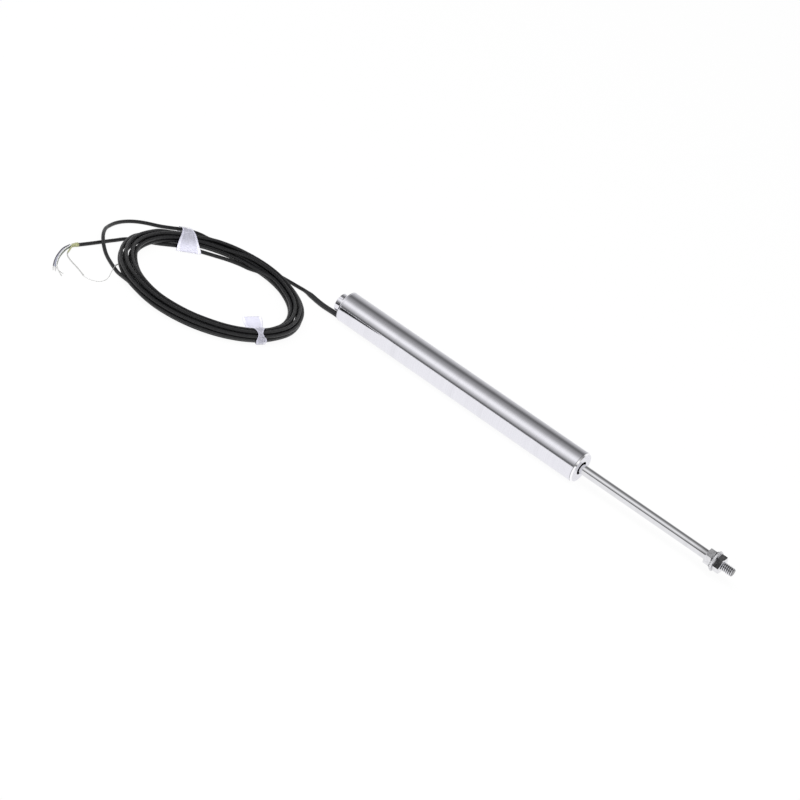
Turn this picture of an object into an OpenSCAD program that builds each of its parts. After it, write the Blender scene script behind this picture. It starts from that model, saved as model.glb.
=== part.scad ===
/* [Body] */
// Outside diameter of the body
body_d = 20.6; // [20:0.1:30]
// Length of the steel tube between the two cap flanges
tube_l = 186.6; // [184:0.2:240]
// Wall of the steel tube
tube_wall = 0.8; // [0.5:0.1:0.9]
// Small edge break at both ends of the tube
tube_edge = 0.15; // [0.1:0.05:0.3]
// Thickness of each cap's flange
cap_flange = 1.2; // [1.1:0.1:2.5]
// Chamfer round the front cap's face
front_chamfer = 0.8; // [0.3:0.1:0.9]
// Chamfer round the rear cap's edge
rear_chamfer = 0.5; // [0.2:0.1:0.9]
// Length of the front cap's spigot in the tube
front_spigot_l = 16.2; // [16:0.2:20]
// Length of the rear cap's spigot in the tube
rear_spigot_l = 9; // [8.5:0.5:12]
// Radial gap between the tube and what slides into it
tube_gap = 0.05; // [0.02:0.01:0.1]

/* [Rod and tip] */
// Diameter of the push rod
rod_d = 6.35; // [6.2:0.05:6.6]
// Length of rod that shows between the front face and the tip's nuts
rod_out = 95.5; // [85:0.5:120]
// Outside diameter of the tip's thread
thread_d = 6; // [5.5:0.1:6.1]
// Inside diameter of the nuts, where they grip the thread
thread_core_d = 5; // [4.4:0.1:5.2]
// Length of thread that stands out of the end nut
thread_free_l = 7.5; // [4:0.5:15]
// Chamfer at the end of the thread
thread_chamfer = 0.8; // [0.3:0.1:1]
// Width of the nuts across their flats
nut_af = 10; // [9:0.5:13]
// Height of the inner nut next to the rod
jam_nut_h = 4.7; // [3:0.1:6]
// Height of the end nut
end_nut_h = 4.7; // [4:0.1:7]
// Turn of the inner nut about the rod
jam_nut_turn = 35; // [0:1:59]
// Turn of the end nut about the rod
end_nut_turn = 10; // [0:1:59]
// Outside diameter of the toothed lock washer
lock_d = 11.5; // [10:0.5:14]
// Height of the toothed lock washer
lock_h = 0.9; // [0.8:0.1:2]
// Number of teeth on the lock washer
lock_teeth = 24; // [16:1:26]
// Outside diameter of the flat washer
washer_d = 13.5; // [11:0.5:16]
// Thickness of the flat washer
washer_h = 1.2; // [1:0.1:2]
// Hole of both washers
washer_bore_d = 6.4; // [6.3:0.1:7]
// Radial gap between the nuts and the thread
thread_gap = 0.05; // [0.02:0.01:0.1]

/* [Front bearing] */
// Diameter of the open recess round the rod
recess_d = 9; // [8:0.1:9.4]
// Depth of the recess, down to the bush
recess_depth = 3.8; // [2.5:0.1:5]
// Thickness of the wiper seal at the bottom of the recess
wiper_h = 1.4; // [0.8:0.1:2]
// Outside diameter of the front bush
bush_d = 10; // [9.8:0.1:11]
// Length of the front bush
bush_l = 12; // [9:0.5:12]
// Radial running gap between the rod and the front bush
rod_gap = 0.03; // [0.01:0.01:0.08]
// Thickness of the retaining ring behind the bush
ring_h = 0.9; // [0.6:0.1:1]
// Inside diameter of the retaining ring
ring_bore_d = 7; // [6.8:0.1:7.2]
// Depth of the retaining ring's groove
ring_groove = 0.6; // [0.4:0.1:1]
// Opening of the retaining ring
ring_slit = 3; // [2:0.5:4]
// Section of the O-ring on the front cap
seal_d = 1.2; // [1:0.1:1.4]

/* [Core and windings] */
// Bore of the winding former, in which the core slides
bore_d = 8.4; // [8.2:0.1:9]
// Wall of the winding former
former_wall = 0.8; // [0.6:0.1:1.2]
// Thickness of the former's flanges
former_flange = 1.5; // [1:0.1:2]
// Outside diameter of the former's inner flanges
former_flange_d = 14; // [13:0.2:15.4]
// Length of each secondary winding
secondary_l = 32; // [28:1:34]
// Length of the primary winding
primary_l = 43; // [38:1:48]
// Thickness of the windings
winding_t = 1.3; // [0.8:0.1:1.3]
// Thickness of the tape over the windings
tape_t = 0.25; // [0.15:0.05:0.3]
// Gap between the former, its windings, tape and shield
winding_gap = 0.05; // [0.02:0.01:0.08]
// Wall of the magnetic shield
shield_wall = 0.6; // [0.3:0.1:1]
// Diameter of the core
core_d = 7.6; // [7.3:0.1:7.8]
// Length of the core
core_l = 60; // [50:1:62]
// Diameter of the rod's stem through the core
stem_d = 3.2; // [2.5:0.1:4]
// Gap between the stem and the core on it
stem_gap = 0.05; // [0.02:0.01:0.1]
// Length of the guide bush behind the core
guide_l = 5; // [4:0.5:7]
// Radial running gap of the guide bush in the bore and on the stem
guide_gap = 0.06; // [0.03:0.01:0.09]
// Height of the nut behind the guide bush
core_nut_h = 2.4; // [2:0.1:3]
// Width of that nut across its flats
core_nut_af = 5.5; // [5:0.1:6]
// Travel of the rod inwards
travel_in = 53; // [40:1:55]
// Travel of the rod outwards
travel_out = 3; // [2:0.5:4]

/* [Electronics] */
// Shortest length of the former's closed neck behind the windings
neck_min = 8; // [6:0.5:12]
// Thickness of the neck's end wall
neck_end = 1.5; // [1:0.1:2]
// Thickness of the spacer behind the neck, where it holds the board
spacer_web = 6; // [4:0.5:10]
// Width of the circuit board
board_w = 14; // [12:0.5:15]
// Thickness of the circuit board
board_t = 1.2; // [0.8:0.1:1.6]
// Depth of the slots that hold the board's ends
board_slot = 2; // [1:0.1:2]
// Gap round the board in its slots
board_gap = 0.1; // [0.05:0.01:0.2]

/* [Rear plug] */
// Gap between the plug's head and the cable's sleeve beside it
plug_gap = 0.15; // [0.1:0.05:0.4]
// Height of the plug's head
plug_h = 5.5; // [4:0.1:7]
// Step from the plug's head in to its shank in the rear cap
plug_step = 1.3; // [0.8:0.1:2.5]
// Length of the plug's shank
plug_shank_l = 7; // [5:0.5:7]
// Wall of the plug's hollow head
plug_wall = 2.5; // [1.5:0.1:3]
// Depth of the spanner slots in the plug's head
plug_slot_h = 3; // [1.5:0.1:4]
// Width of the spanner slots
plug_slot_w = 0.9; // [0.6:0.1:1.5]
// Turn of the plug about its axis
plug_turn = 38; // [30:1:45]
// Chamfer on the plug's head
plug_chamfer = 0.4; // [0.2:0.1:0.8]

/* [Cable] */
// Diameter of the cable
cable_d = 2.4; // [2:0.1:2.4]
// Distance of the cable's middle from the tube's inner wall
cable_inset = 1.6; // [1.55:0.05:1.65]
// Angle of the cable's hole about the axis, from +Y towards +Z
cable_angle = 243; // [240:1:250]
// Radial gap of the cable in its hole
cable_gap = 0.1; // [0.05:0.05:0.1]
// Diameter of the sleeve over the cable's first stretch
sleeve_d = 3.5; // [3.2:0.1:3.5]
// Diameter of the crimp on the cable inside the body
crimp_d = 3; // [2.8:0.1:3]
// Length of the crimp
crimp_l = 5; // [3:0.5:8]
// Middle radius of the coiled cable
coil_r = 56; // [55.6:0.1:56.4]
// Width of the coil's section
coil_w = 9.6; // [9:0.1:10]
// Height of the coil's section
coil_h = 8.6; // [8:0.1:9]
// Corner radius of the coil's section
coil_round = 3; // [2:0.1:3.6]
// Thickness of the film ties
tie_t = 0.3; // [0.2:0.05:0.4]
// Gap between the film ties and the coil
tie_gap = 0.15; // [0.1:0.05:0.3]
// Span of the upper tie along the coil, in degrees
tie_upper_span = 12; // [8:1:14]
// Span of the lower tie along the coil, in degrees
tie_lower_span = 8; // [6:1:10]
// Diameter of the insulated wires
wire_d = 0.8; // [0.6:0.05:0.8]
// Diameter of the screen's twisted end
screen_d = 1; // [0.8:0.05:1]
// Diameter of the screen's loose strand
strand_d = 0.4; // [0.3:0.05:0.5]

/* [Hidden] */
$fn = 72;
// Overlap of cutting tools past the faces that they cut
cut = 1;
// Gap between pieces that sit end to end
seat_gap = 0.05;
// Free way left at both ends of the rod's travel
stop_gap = 0.5;

// Places along the body's axis, from the tube's front end at 0 backwards
front_face = cap_flange;
tube_rear = -tube_l;
rear_face = -tube_l - cap_flange;
spigot_rear = -front_spigot_l;
bush_front = front_face - recess_depth;
bush_rear = bush_front - bush_l;
ring_front = bush_rear - seat_gap;
ring_rear = ring_front - ring_h;
tube_bore_d = body_d - 2 * tube_wall;
spigot_d = tube_bore_d - 2 * tube_gap;
cable_r = tube_bore_d / 2 - cable_inset;
plug_d = 2 * (cable_r - sleeve_d / 2 - plug_gap);
plug_shank_d = plug_d - 2 * plug_step;
plug_hollow_d = plug_d - 2 * plug_wall;
former_d = bore_d + 2 * former_wall;
seal_x = -front_spigot_l / 2;
seal_groove_d = tube_bore_d - 2 * seal_d - 2 * seat_gap;
windings_front = spigot_rear - former_flange;
primary_front = windings_front - secondary_l - former_flange;
secondary_rear_front = primary_front - primary_l - former_flange;
windings_rear = secondary_rear_front - secondary_l;
neck_front = windings_rear - former_flange;
rear_spigot_front = tube_rear + rear_spigot_l;

// Places of the rod, with the tip as in the rest pose
shoulder = front_face + rod_out;
lock_rear = shoulder + jam_nut_h;
washer_rear = lock_rear + lock_h;
end_nut_rear = washer_rear + washer_h;
thread_rear = end_nut_rear + end_nut_h;
thread_end = thread_rear + thread_free_l;
core_front = ring_rear - travel_out - stop_gap;
core_rear = core_front - core_l;
guide_front = core_rear - guide_gap;
guide_rear = guide_front - guide_l;
core_nut_front = guide_rear - guide_gap;
stem_rear = core_nut_front - core_nut_h;

// The former's closed end, which leaves room for the rod's whole travel, and what sits behind it
neck_rear = min(neck_front - neck_min, stem_rear - travel_in - 2 * stop_gap - neck_end);
spacer_rear = neck_rear - spacer_web;
board_front = spacer_rear + board_slot;
board_rear = rear_spigot_front - board_slot;

// The floor that the sensor lies on, and the coil on it
floor_z = -body_d / 2;
coil_x = -245.6;
coil_y = -67.6;
coil_lift = tie_t + tie_gap;
coil_z = floor_z + coil_lift + coil_h / 2;
tie_upper_angle = 147.5;
tie_lower_angle = 342.5;
tie_reach = 5.5;
tab_l = 8;
tab_w = 7;
cable_z = floor_z + cable_d / 2;
sleeve_z = floor_z + sleeve_d / 2;
wire_z = floor_z + wire_d / 2;
screen_z = floor_z + screen_d / 2;
strand_z = floor_z + strand_d / 2;
exit_y = cable_r * cos(cable_angle);
exit_z = cable_r * sin(cable_angle);
rounds = 8;

// Cable from its crimp out through the rear cap and down to the floor, then up onto the coil
lead_route = [
    [rear_spigot_front + crimp_l, exit_y, exit_z],
    [rear_face - 5, exit_y, exit_z],
    [-196, -3.2, exit_z - 0.35],
    [-202, -2.2, exit_z - 1],
    [-208, -0.8, sleeve_z + 0.1],
    [-214, 0.6, sleeve_z],
    [-220, 1.2, sleeve_z],
    [-226, 0.4, cable_z + 0.5],
    [-232, -2.4, cable_z + 1.4],
    [-238, -6.2, cable_z + 2.6],
    [-243.5, -9.2, cable_z + 3.4]
];
// The sleeve follows the lead's stretch outside the body
sleeve_first = 1;
sleeve_last = 6;
sleeve_route = concat([[rear_face, exit_y, exit_z]], [for (i = [sleeve_first : sleeve_last]) lead_route[i]]);

// Loose turn that leaves the coil at the upper tie and comes back at its near side
loop_route = [
    [-285, -23.6, cable_z + 5],
    [-290, -26, cable_z + 5.4],
    [-295, -28.8, cable_z + 5.2],
    [-300.4, -32.2, cable_z + 4.4],
    [-306.4, -36, cable_z + 2.6],
    [-313, -40, cable_z + 0.8],
    [-320, -46, cable_z],
    [-325, -56, cable_z],
    [-326.6, -67, cable_z],
    [-324.6, -78, cable_z + 0.6],
    [-320.6, -87, cable_z + 2.2],
    [-315, -95.5, cable_z + 2.8],
    [-308.6, -102, cable_z + 1.8],
    [-300.6, -108, cable_z + 0.4],
    [-292, -113, cable_z],
    [-283, -117.4, cable_z],
    [-273, -120.6, cable_z],
    [-264, -121.8, cable_z + 0.6]
];

// Loose tail from the coil's inner side, through the upper tie and under the coil
tail_route = [
    [-247, -15, cable_z + 1.4],
    [-255, -17, cable_z],
    [-264, -21, cable_z],
    [-273, -28, cable_z],
    [-281, -36, cable_z + coil_lift],
    [-287.3, -41, cable_z + coil_lift],
    [-298.3, -58.7, cable_z],
    [-309.2, -76.4, cable_z],
    [-311, -87, cable_z],
    [-312.4, -97.8, cable_z],
    [-313.8, -109, cable_z],
    [-315.4, -120.2, cable_z]
];
// The tail runs straight under the coil between these two points, with this room round it
tail_under = 5;
tail_out = 7;
tail_room = 0.4;
tail_end = tail_route[len(tail_route) - 1];
tail_way = unit(tail_end - tail_route[len(tail_route) - 2]);
end_sleeve_l = 4;
end_sleeve_route = [tail_end, tail_end + tail_way * end_sleeve_l / 2, tail_end + tail_way * end_sleeve_l];

// Loose wires at the cable's end: three side by side on the floor, the white one on top of them
violet_route = [
    [-316.9, -124.4, cable_z + 0.2],
    [-316.6, -130.1, wire_z + 0.15],
    [-314.2, -136.6, wire_z],
    [-311.2, -142.8, wire_z],
    [-307.6, -148.9, wire_z],
    [-303.8, -154.2, wire_z],
    [-301.5, -157.2, wire_z],
    [-299.7, -159.2, wire_z]
];
blue_route = [
    [-316.4, -124.4, wire_z + 0.2],
    [-315.7, -129.8, wire_z],
    [-313.3, -136.2, wire_z],
    [-310.4, -142.4, wire_z],
    [-306.8, -148.4, wire_z],
    [-303, -153.6, wire_z],
    [-300.4, -156.5, wire_z],
    [-298.4, -158.3, wire_z]
];
white_route = [
    [-316, -124.5, cable_z + 0.7],
    [-315.2, -129.7, wire_z + 0.78],
    [-312.9, -136, wire_z + 0.78],
    [-310, -142.2, wire_z + 0.78],
    [-306.4, -148.1, wire_z + 0.78],
    [-302.6, -153.3, wire_z + 0.78],
    [-299.9, -155.9, wire_z + 0.86],
    [-297.3, -157.2, wire_z + 0.8],
    [-294.7, -158.3, wire_z + 0.2],
    [-292.6, -159, wire_z]
];
green_route = [
    [-315.5, -124.6, wire_z + 0.2],
    [-314.8, -129.5, wire_z],
    [-312.4, -135.8, wire_z],
    [-309.6, -142, wire_z],
    [-306, -147.9, wire_z],
    [-302.2, -153, wire_z],
    [-299.2, -155.2, wire_z],
    [-296.4, -156.2, wire_z],
    [-294.2, -155.7, wire_z]
];
screen_route = [
    [-315.1, -124.8, cable_z + 0.2],
    [-313.2, -128.6, screen_z + 0.2],
    [-311.1, -132.8, screen_z],
    [-308.3, -135.8, screen_z],
    [-303.3, -138.2, screen_z],
    [-296, -140.5, screen_z],
    [-288, -143.6, screen_z]
];
strand_route = [
    [-287.7, -143.7, strand_z],
    [-283.4, -142.6, strand_z],
    [-279.8, -139, strand_z],
    [-279.2, -133.4, strand_z],
    [-281, -127.4, strand_z],
    [-284, -121.4, strand_z + 1.6],
    [-286.2, -116.6, strand_z + 2.6],
    [-288, -111.6, strand_z + 2]
];

// Solid of revolution about the body's axis, from points given as radius and place along the axis
module turned(points) {
    rotate([0, 90, 0]) rotate_extrude() polygon(points);
}

// Plain ring or rod along the body's axis
module ring(front, rear, outer_d, inner_d = 0) {
    difference() {
        translate([rear, 0, 0]) rotate([0, 90, 0]) cylinder(h = front - rear, d = outer_d);
        if (inner_d > 0) bore(front, rear, inner_d);
    }
}

// Cutting tool for a round hole along the body's axis, open at both ends
module bore(front, rear, d) {
    translate([rear - cut, 0, 0]) rotate([0, 90, 0]) cylinder(h = front - rear + 2 * cut, d = d);
}

// Hole from one face down to a depth, along the body's axis
module pocket(mouth, bottom, d) {
    from = min(mouth, bottom) - (mouth < bottom ? cut : 0);
    to = max(mouth, bottom) + (mouth > bottom ? cut : 0);
    translate([from, 0, 0]) rotate([0, 90, 0]) cylinder(h = to - from, d = d);
}

// Hex nut on the body's axis, with both faces chamfered
module hex_nut(rear, height, flats, hole_d, turn) {
    corners = flats / cos(30);
    drop = (corners - flats) / 2 * tan(30);
    rotate([turn, 0, 0]) difference() {
        intersection() {
            translate([rear, 0, 0]) rotate([0, 90, 0]) rotate([0, 0, 90])
                cylinder(h = height, d = corners, $fn = 6);
            turned([
                [0, rear],
                [flats / 2 - drop / 2, rear],
                [corners / 2, rear + drop],
                [corners / 2, rear + height - drop],
                [flats / 2 - drop / 2, rear + height],
                [0, rear + height]
            ]);
        }
        bore(rear + height, rear, hole_d);
    }
}

// Unit vectors along and across a route
function unit(v) = v / norm(v);
function along(route, i) = unit(route[min(i + 1, len(route) - 1)] - route[max(i - 1, 0)]);
function sideways(t) = unit(cross([0, 0, 1], t));
function circle_at(p, t, r) = [
    for (k = [0 : rounds - 1])
        p + r * cos(360 * k / rounds) * sideways(t) + r * sin(360 * k / rounds) * cross(t, sideways(t))
];
function rings(route, r) = [for (i = [0 : len(route) - 1]) each circle_at(route[i], along(route, i), r)];

// Side faces between the rings of a swept tube, whose first point is at a given place in the list
function walls(count, first) = [
    for (i = [0 : count - 2]) for (k = [0 : rounds - 1]) let (a = first + i * rounds, n = (k + 1) % rounds)
        [a + k, a + rounds + k, a + rounds + n, a + n]
];
function turned_over(faces) = [for (f = faces) [for (i = [len(f) - 1 : -1 : 0]) f[i]]];

// Round cord swept along a route
module cord(route, d) {
    last = (len(route) - 1) * rounds;
    polyhedron(
        points = rings(route, d / 2),
        faces = concat(
            walls(len(route), 0),
            [[for (k = [0 : rounds - 1]) k]],
            [[for (k = [rounds - 1 : -1 : 0]) last + k]]
        )
    );
}

// Hollow cord swept along a route
module hose(route, outer_d, inner_d) {
    count = len(route);
    inner = count * rounds;
    last = (count - 1) * rounds;
    polyhedron(
        points = concat(rings(route, outer_d / 2), rings(route, inner_d / 2)),
        faces = concat(
            walls(count, 0),
            turned_over(walls(count, inner)),
            [for (k = [0 : rounds - 1]) let (n = (k + 1) % rounds) [k, n, inner + n, inner + k]],
            [for (k = [0 : rounds - 1]) let (n = (k + 1) % rounds)
                [last + n, last + k, inner + last + k, inner + last + n]]
        )
    );
}

// Rounded rectangle, given by its middle, size and corner radius
module soft_rectangle(centre, size, round) {
    translate(centre) {
        square([size[0] - 2 * round, size[1]], center = true);
        square([size[0], size[1] - 2 * round], center = true);
        for (i = [-1, 1], j = [-1, 1])
            translate([i * (size[0] / 2 - round), j * (size[1] / 2 - round)]) circle(r = round, $fn = 24);
    }
}

module body_tube() {
    color([0.78, 0.78, 0.8]) turned([
        [tube_bore_d / 2, 0],
        [body_d / 2 - tube_edge, 0],
        [body_d / 2, -tube_edge],
        [body_d / 2, tube_rear + tube_edge],
        [body_d / 2 - tube_edge, tube_rear],
        [tube_bore_d / 2, tube_rear]
    ]);
}

module front_cap() {
    groove_front = seal_x + seal_d * 0.7;
    groove_rear = seal_x - seal_d * 0.7;
    color([0.82, 0.82, 0.83]) difference() {
        turned([
            [0, front_face],
            [body_d / 2 - front_chamfer, front_face],
            [body_d / 2, front_face - front_chamfer],
            [body_d / 2, tube_edge],
            [body_d / 2 - tube_edge, 0],
            [spigot_d / 2, 0],
            [spigot_d / 2, groove_front],
            [seal_groove_d / 2, groove_front],
            [seal_groove_d / 2, groove_rear],
            [spigot_d / 2, groove_rear],
            [spigot_d / 2, spigot_rear],
            [0, spigot_rear]
        ]);
        pocket(front_face, bush_front, recess_d);
        pocket(spigot_rear, bush_front, bush_d + 2 * tube_gap);
        ring(bush_rear, ring_rear - seat_gap, bush_d + 2 * ring_groove);
    }
}

module front_seal() {
    color([0.1, 0.1, 0.1]) rotate([0, 90, 0]) rotate_extrude()
        translate([(tube_bore_d + seal_groove_d) / 4, seal_x]) circle(d = seal_d, $fn = 32);
}

module wiper_seal() {
    lip = wiper_h / 3;
    color([0.09, 0.09, 0.09]) turned([
        [rod_d / 2 + 2 * rod_gap, bush_front],
        [rod_d / 2 + 2 * rod_gap, bush_front + wiper_h],
        [(rod_d + recess_d) / 4, bush_front + wiper_h - lip],
        [recess_d / 2 - tube_gap, bush_front + wiper_h],
        [recess_d / 2 - tube_gap, bush_front]
    ]);
}

module front_bush() {
    edge = 0.3;
    color([0.72, 0.55, 0.3]) turned([
        [rod_d / 2 + rod_gap, bush_front - edge],
        [rod_d / 2 + rod_gap + edge, bush_front],
        [bush_d / 2 - edge, bush_front],
        [bush_d / 2, bush_front - edge],
        [bush_d / 2, bush_rear + edge],
        [bush_d / 2 - edge, bush_rear],
        [rod_d / 2 + rod_gap + edge, bush_rear],
        [rod_d / 2 + rod_gap, bush_rear + edge]
    ]);
}

module bush_ring() {
    ring_d = bush_d + 2 * ring_groove - 2 * seat_gap;
    color([0.35, 0.35, 0.37]) difference() {
        ring(ring_front, ring_rear, ring_d, ring_bore_d);
        translate([ring_rear - cut, 0, -ring_slit / 2]) cube([ring_h + 2 * cut, ring_d, ring_slit]);
    }
}

module coil_former() {
    color([0.85, 0.8, 0.65]) difference() {
        turned([
            [0, spigot_rear],
            [spigot_d / 2, spigot_rear],
            [spigot_d / 2, windings_front],
            [former_d / 2, windings_front],
            [former_d / 2, primary_front + former_flange],
            [former_flange_d / 2, primary_front + former_flange],
            [former_flange_d / 2, primary_front],
            [former_d / 2, primary_front],
            [former_d / 2, secondary_rear_front + former_flange],
            [former_flange_d / 2, secondary_rear_front + former_flange],
            [former_flange_d / 2, secondary_rear_front],
            [former_d / 2, secondary_rear_front],
            [former_d / 2, windings_rear],
            [former_flange_d / 2, windings_rear],
            [former_flange_d / 2, neck_front],
            [former_d / 2, neck_front],
            [former_d / 2, neck_rear],
            [0, neck_rear]
        ]);
        pocket(spigot_rear, neck_rear + neck_end, bore_d);
    }
}

// Winding that fills its chamber of the former
module winding(front, length) {
    inner_d = former_d + 2 * winding_gap;
    ring(front - winding_gap, front - length + winding_gap, inner_d + 2 * winding_t, inner_d);
}

module primary_winding() {
    color([0.72, 0.38, 0.18]) winding(primary_front, primary_l);
}

module secondary_front() {
    color([0.78, 0.45, 0.22]) winding(windings_front, secondary_l);
}

module secondary_rear() {
    color([0.78, 0.45, 0.22]) winding(secondary_rear_front, secondary_l);
}

module winding_tape() {
    inner_d = former_d + 2 * winding_t + 4 * winding_gap;
    chambers = [
        [windings_front, secondary_l],
        [primary_front, primary_l],
        [secondary_rear_front, secondary_l]
    ];
    color([0.9, 0.8, 0.2]) for (c = chambers)
        ring(c[0] - winding_gap, c[0] - c[1] + winding_gap, inner_d + 2 * tape_t, inner_d);
}

module magnetic_shield() {
    inner_d = former_flange_d + 2 * winding_gap;
    color([0.55, 0.56, 0.6]) ring(windings_front, neck_front, inner_d + 2 * shield_wall, inner_d);
}

// Slot across the body that holds one end of the board
module board_pocket(mouth, bottom) {
    from = min(mouth, bottom) - (mouth < bottom ? cut : 0);
    to = max(mouth, bottom) + (mouth > bottom ? cut : 0);
    wide = board_w + 2 * board_gap;
    thick = board_t + 2 * board_gap;
    translate([from, -wide / 2, -thick / 2]) cube([to - from, wide, thick]);
}

module spacer() {
    color([0.9, 0.9, 0.86]) difference() {
        ring(neck_front, spacer_rear, spigot_d);
        pocket(neck_front, neck_rear, former_d + 2 * winding_gap);
        board_pocket(spacer_rear, board_front);
    }
}

module circuit_board() {
    color([0.08, 0.35, 0.18]) translate([board_rear, -board_w / 2, -board_t / 2])
        cube([board_front - board_rear, board_w, board_t]);
}

// Small packages that sit on the board's upper face
module board_chips() {
    main_chip = [6, 6, 1.6];
    small_chip = [3, 2, 1.2];
    can_d = 2.6;
    can_h = 3;
    place = (spacer_rear - rear_spigot_front) * 0.3;
    row = board_w * 0.28;
    color([0.12, 0.12, 0.13]) translate([(spacer_rear + rear_spigot_front) / 2, 0, board_t / 2]) {
        translate([-main_chip[0] / 2, -main_chip[1] / 2, 0]) cube(main_chip);
        for (i = [-1, 1], j = [-1, 1])
            translate([i * place - small_chip[0] / 2, j * row - small_chip[1] / 2, 0]) cube(small_chip);
        for (i = [-1, 1])
            translate([i * place, 0, 0]) cylinder(h = can_h, d = can_d);
    }
}

// Hole for the cable, beside the plug
module cable_hole(d) {
    translate([rear_face - cut, exit_y, exit_z]) rotate([0, 90, 0])
        cylinder(h = cap_flange + rear_spigot_l + 2 * cut, d = d);
}

module rear_cap() {
    color([0.8, 0.8, 0.82]) difference() {
        turned([
            [0, rear_spigot_front],
            [spigot_d / 2, rear_spigot_front],
            [spigot_d / 2, tube_rear],
            [body_d / 2 - tube_edge, tube_rear],
            [body_d / 2, tube_rear - tube_edge],
            [body_d / 2, rear_face + rear_chamfer],
            [body_d / 2 - rear_chamfer, rear_face],
            [0, rear_face]
        ]);
        pocket(rear_face, rear_face + plug_shank_l + stop_gap, plug_shank_d + 2 * thread_gap);
        board_pocket(rear_spigot_front, board_rear);
        cable_hole(cable_d + 2 * cable_gap);
    }
}

// Plug with a hollow head that is slotted for a pin spanner
module rear_plug() {
    head_rear = rear_face - plug_h;
    color([0.8, 0.8, 0.82]) difference() {
        turned([
            [0, rear_face + plug_shank_l],
            [plug_shank_d / 2 - plug_chamfer, rear_face + plug_shank_l],
            [plug_shank_d / 2, rear_face + plug_shank_l - plug_chamfer],
            [plug_shank_d / 2, rear_face],
            [plug_d / 2, rear_face],
            [plug_d / 2, head_rear + plug_chamfer],
            [plug_d / 2 - plug_chamfer, head_rear],
            [0, head_rear]
        ]);
        pocket(head_rear, head_rear + plug_slot_h + plug_chamfer, plug_hollow_d);
        for (i = [0, 1])
            rotate([plug_turn + 90 * i, 0, 0])
                translate([head_rear - cut, -plug_d, -plug_slot_w / 2])
                    cube([plug_slot_h + cut, 2 * plug_d, plug_slot_w]);
    }
}

module cable_crimp() {
    color([0.75, 0.75, 0.77]) translate([0, exit_y, exit_z])
        ring(rear_spigot_front + crimp_l, rear_spigot_front, crimp_d, cable_d + 2 * cable_gap);
}

module cable_sleeve() {
    color([0.06, 0.06, 0.06]) hose(sleeve_route, sleeve_d, cable_d + 2 * cable_gap);
}

module cable_lead() {
    color([0.1, 0.1, 0.1]) cord(lead_route, cable_d);
}

// Straight way under the coil for the cable's tail
module tail_channel() {
    from = tail_route[tail_under];
    way = tail_route[tail_out] - from;
    wide = cable_d + 2 * tail_room;
    high = cable_d + coil_lift + tail_room;
    translate([from[0], from[1], floor_z - cut]) rotate([0, 0, atan2(way[1], way[0])])
        translate([-coil_w / 2, -wide / 2, 0]) cube([norm(way) + coil_w, wide, high + cut]);
}

module cable_coil() {
    color([0.1, 0.1, 0.1]) difference() {
        translate([coil_x, coil_y, 0]) rotate_extrude()
            soft_rectangle([coil_r, coil_z], [coil_w, coil_h], coil_round);
        tail_channel();
    }
}

module cable_loop() {
    color([0.1, 0.1, 0.1]) cord(loop_route, cable_d);
}

module cable_tail() {
    color([0.1, 0.1, 0.1]) cord(tail_route, cable_d);
}

// Film band round the coil, reaching further in on the coil's open side
module tie_band(angle, span, reach) {
    inside = [coil_w + 2 * tie_gap + reach, coil_h + 2 * tie_gap];
    outside = [inside[0] + 2 * tie_t, inside[1] + 2 * tie_t];
    middle = [coil_r - reach / 2, coil_z];
    translate([coil_x, coil_y, 0]) rotate([0, 0, angle - span / 2])
        rotate_extrude(angle = span) difference() {
            soft_rectangle(middle, outside, coil_round);
            soft_rectangle(middle, inside, coil_round - tie_t);
        }
}

module tie_upper() {
    color([0.86, 0.86, 0.9]) tie_band(tie_upper_angle, tie_upper_span, tie_reach);
}

module tie_lower() {
    inner = coil_r - coil_w / 2 - tie_gap - tie_t;
    color([0.86, 0.86, 0.9]) {
        tie_band(tie_lower_angle, tie_lower_span, 0);
        translate([coil_x, coil_y, coil_z - tie_t / 2]) rotate([0, 0, tie_lower_angle])
            translate([inner - tab_l, -tab_w / 2, 0]) cube([tab_l + tie_t / 2, tab_w, tie_t]);
    }
}

module end_sleeve() {
    color([0.8, 0.82, 0.5]) cord(end_sleeve_route, cable_d);
}

module wire_violet() {
    color([0.2, 0.16, 0.28]) cord(violet_route, wire_d);
}

module wire_blue() {
    color([0.45, 0.5, 0.75]) cord(blue_route, wire_d);
}

module wire_white() {
    color([0.9, 0.9, 0.9]) cord(white_route, wire_d);
}

module wire_green() {
    color([0.6, 0.72, 0.62]) cord(green_route, wire_d);
}

module screen_end() {
    color([0.7, 0.7, 0.68]) cord(screen_route, screen_d);
}

module screen_strand() {
    color([0.75, 0.75, 0.73]) cord(strand_route, strand_d);
}

module core_guide() {
    edge = 0.4;
    outer_r = bore_d / 2 - guide_gap;
    inner_r = stem_d / 2 + guide_gap;
    color([0.92, 0.92, 0.9]) turned([
        [inner_r, guide_front],
        [outer_r - edge, guide_front],
        [outer_r, guide_front - edge],
        [outer_r, guide_rear + edge],
        [outer_r - edge, guide_rear],
        [inner_r, guide_rear]
    ]);
}

// Rod, its threaded tip and the stem that carries the core, turned in one piece
module push_rod() {
    edge = 0.3;
    grip_r = thread_core_d / 2;
    color([0.8, 0.8, 0.82]) turned([
        [0, thread_end],
        [thread_d / 2 - thread_chamfer, thread_end],
        [thread_d / 2, thread_end - thread_chamfer],
        [thread_d / 2, thread_rear],
        [grip_r, thread_rear],
        [grip_r, end_nut_rear],
        [thread_d / 2, end_nut_rear],
        [thread_d / 2, lock_rear],
        [grip_r, lock_rear],
        [grip_r, shoulder],
        [rod_d / 2 - edge, shoulder],
        [rod_d / 2, shoulder - edge],
        [rod_d / 2, core_front],
        [stem_d / 2, core_front],
        [stem_d / 2, core_nut_front],
        [stem_d / 2 - stem_gap, core_nut_front],
        [stem_d / 2 - stem_gap, stem_rear],
        [0, stem_rear]
    ]);
}

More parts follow.
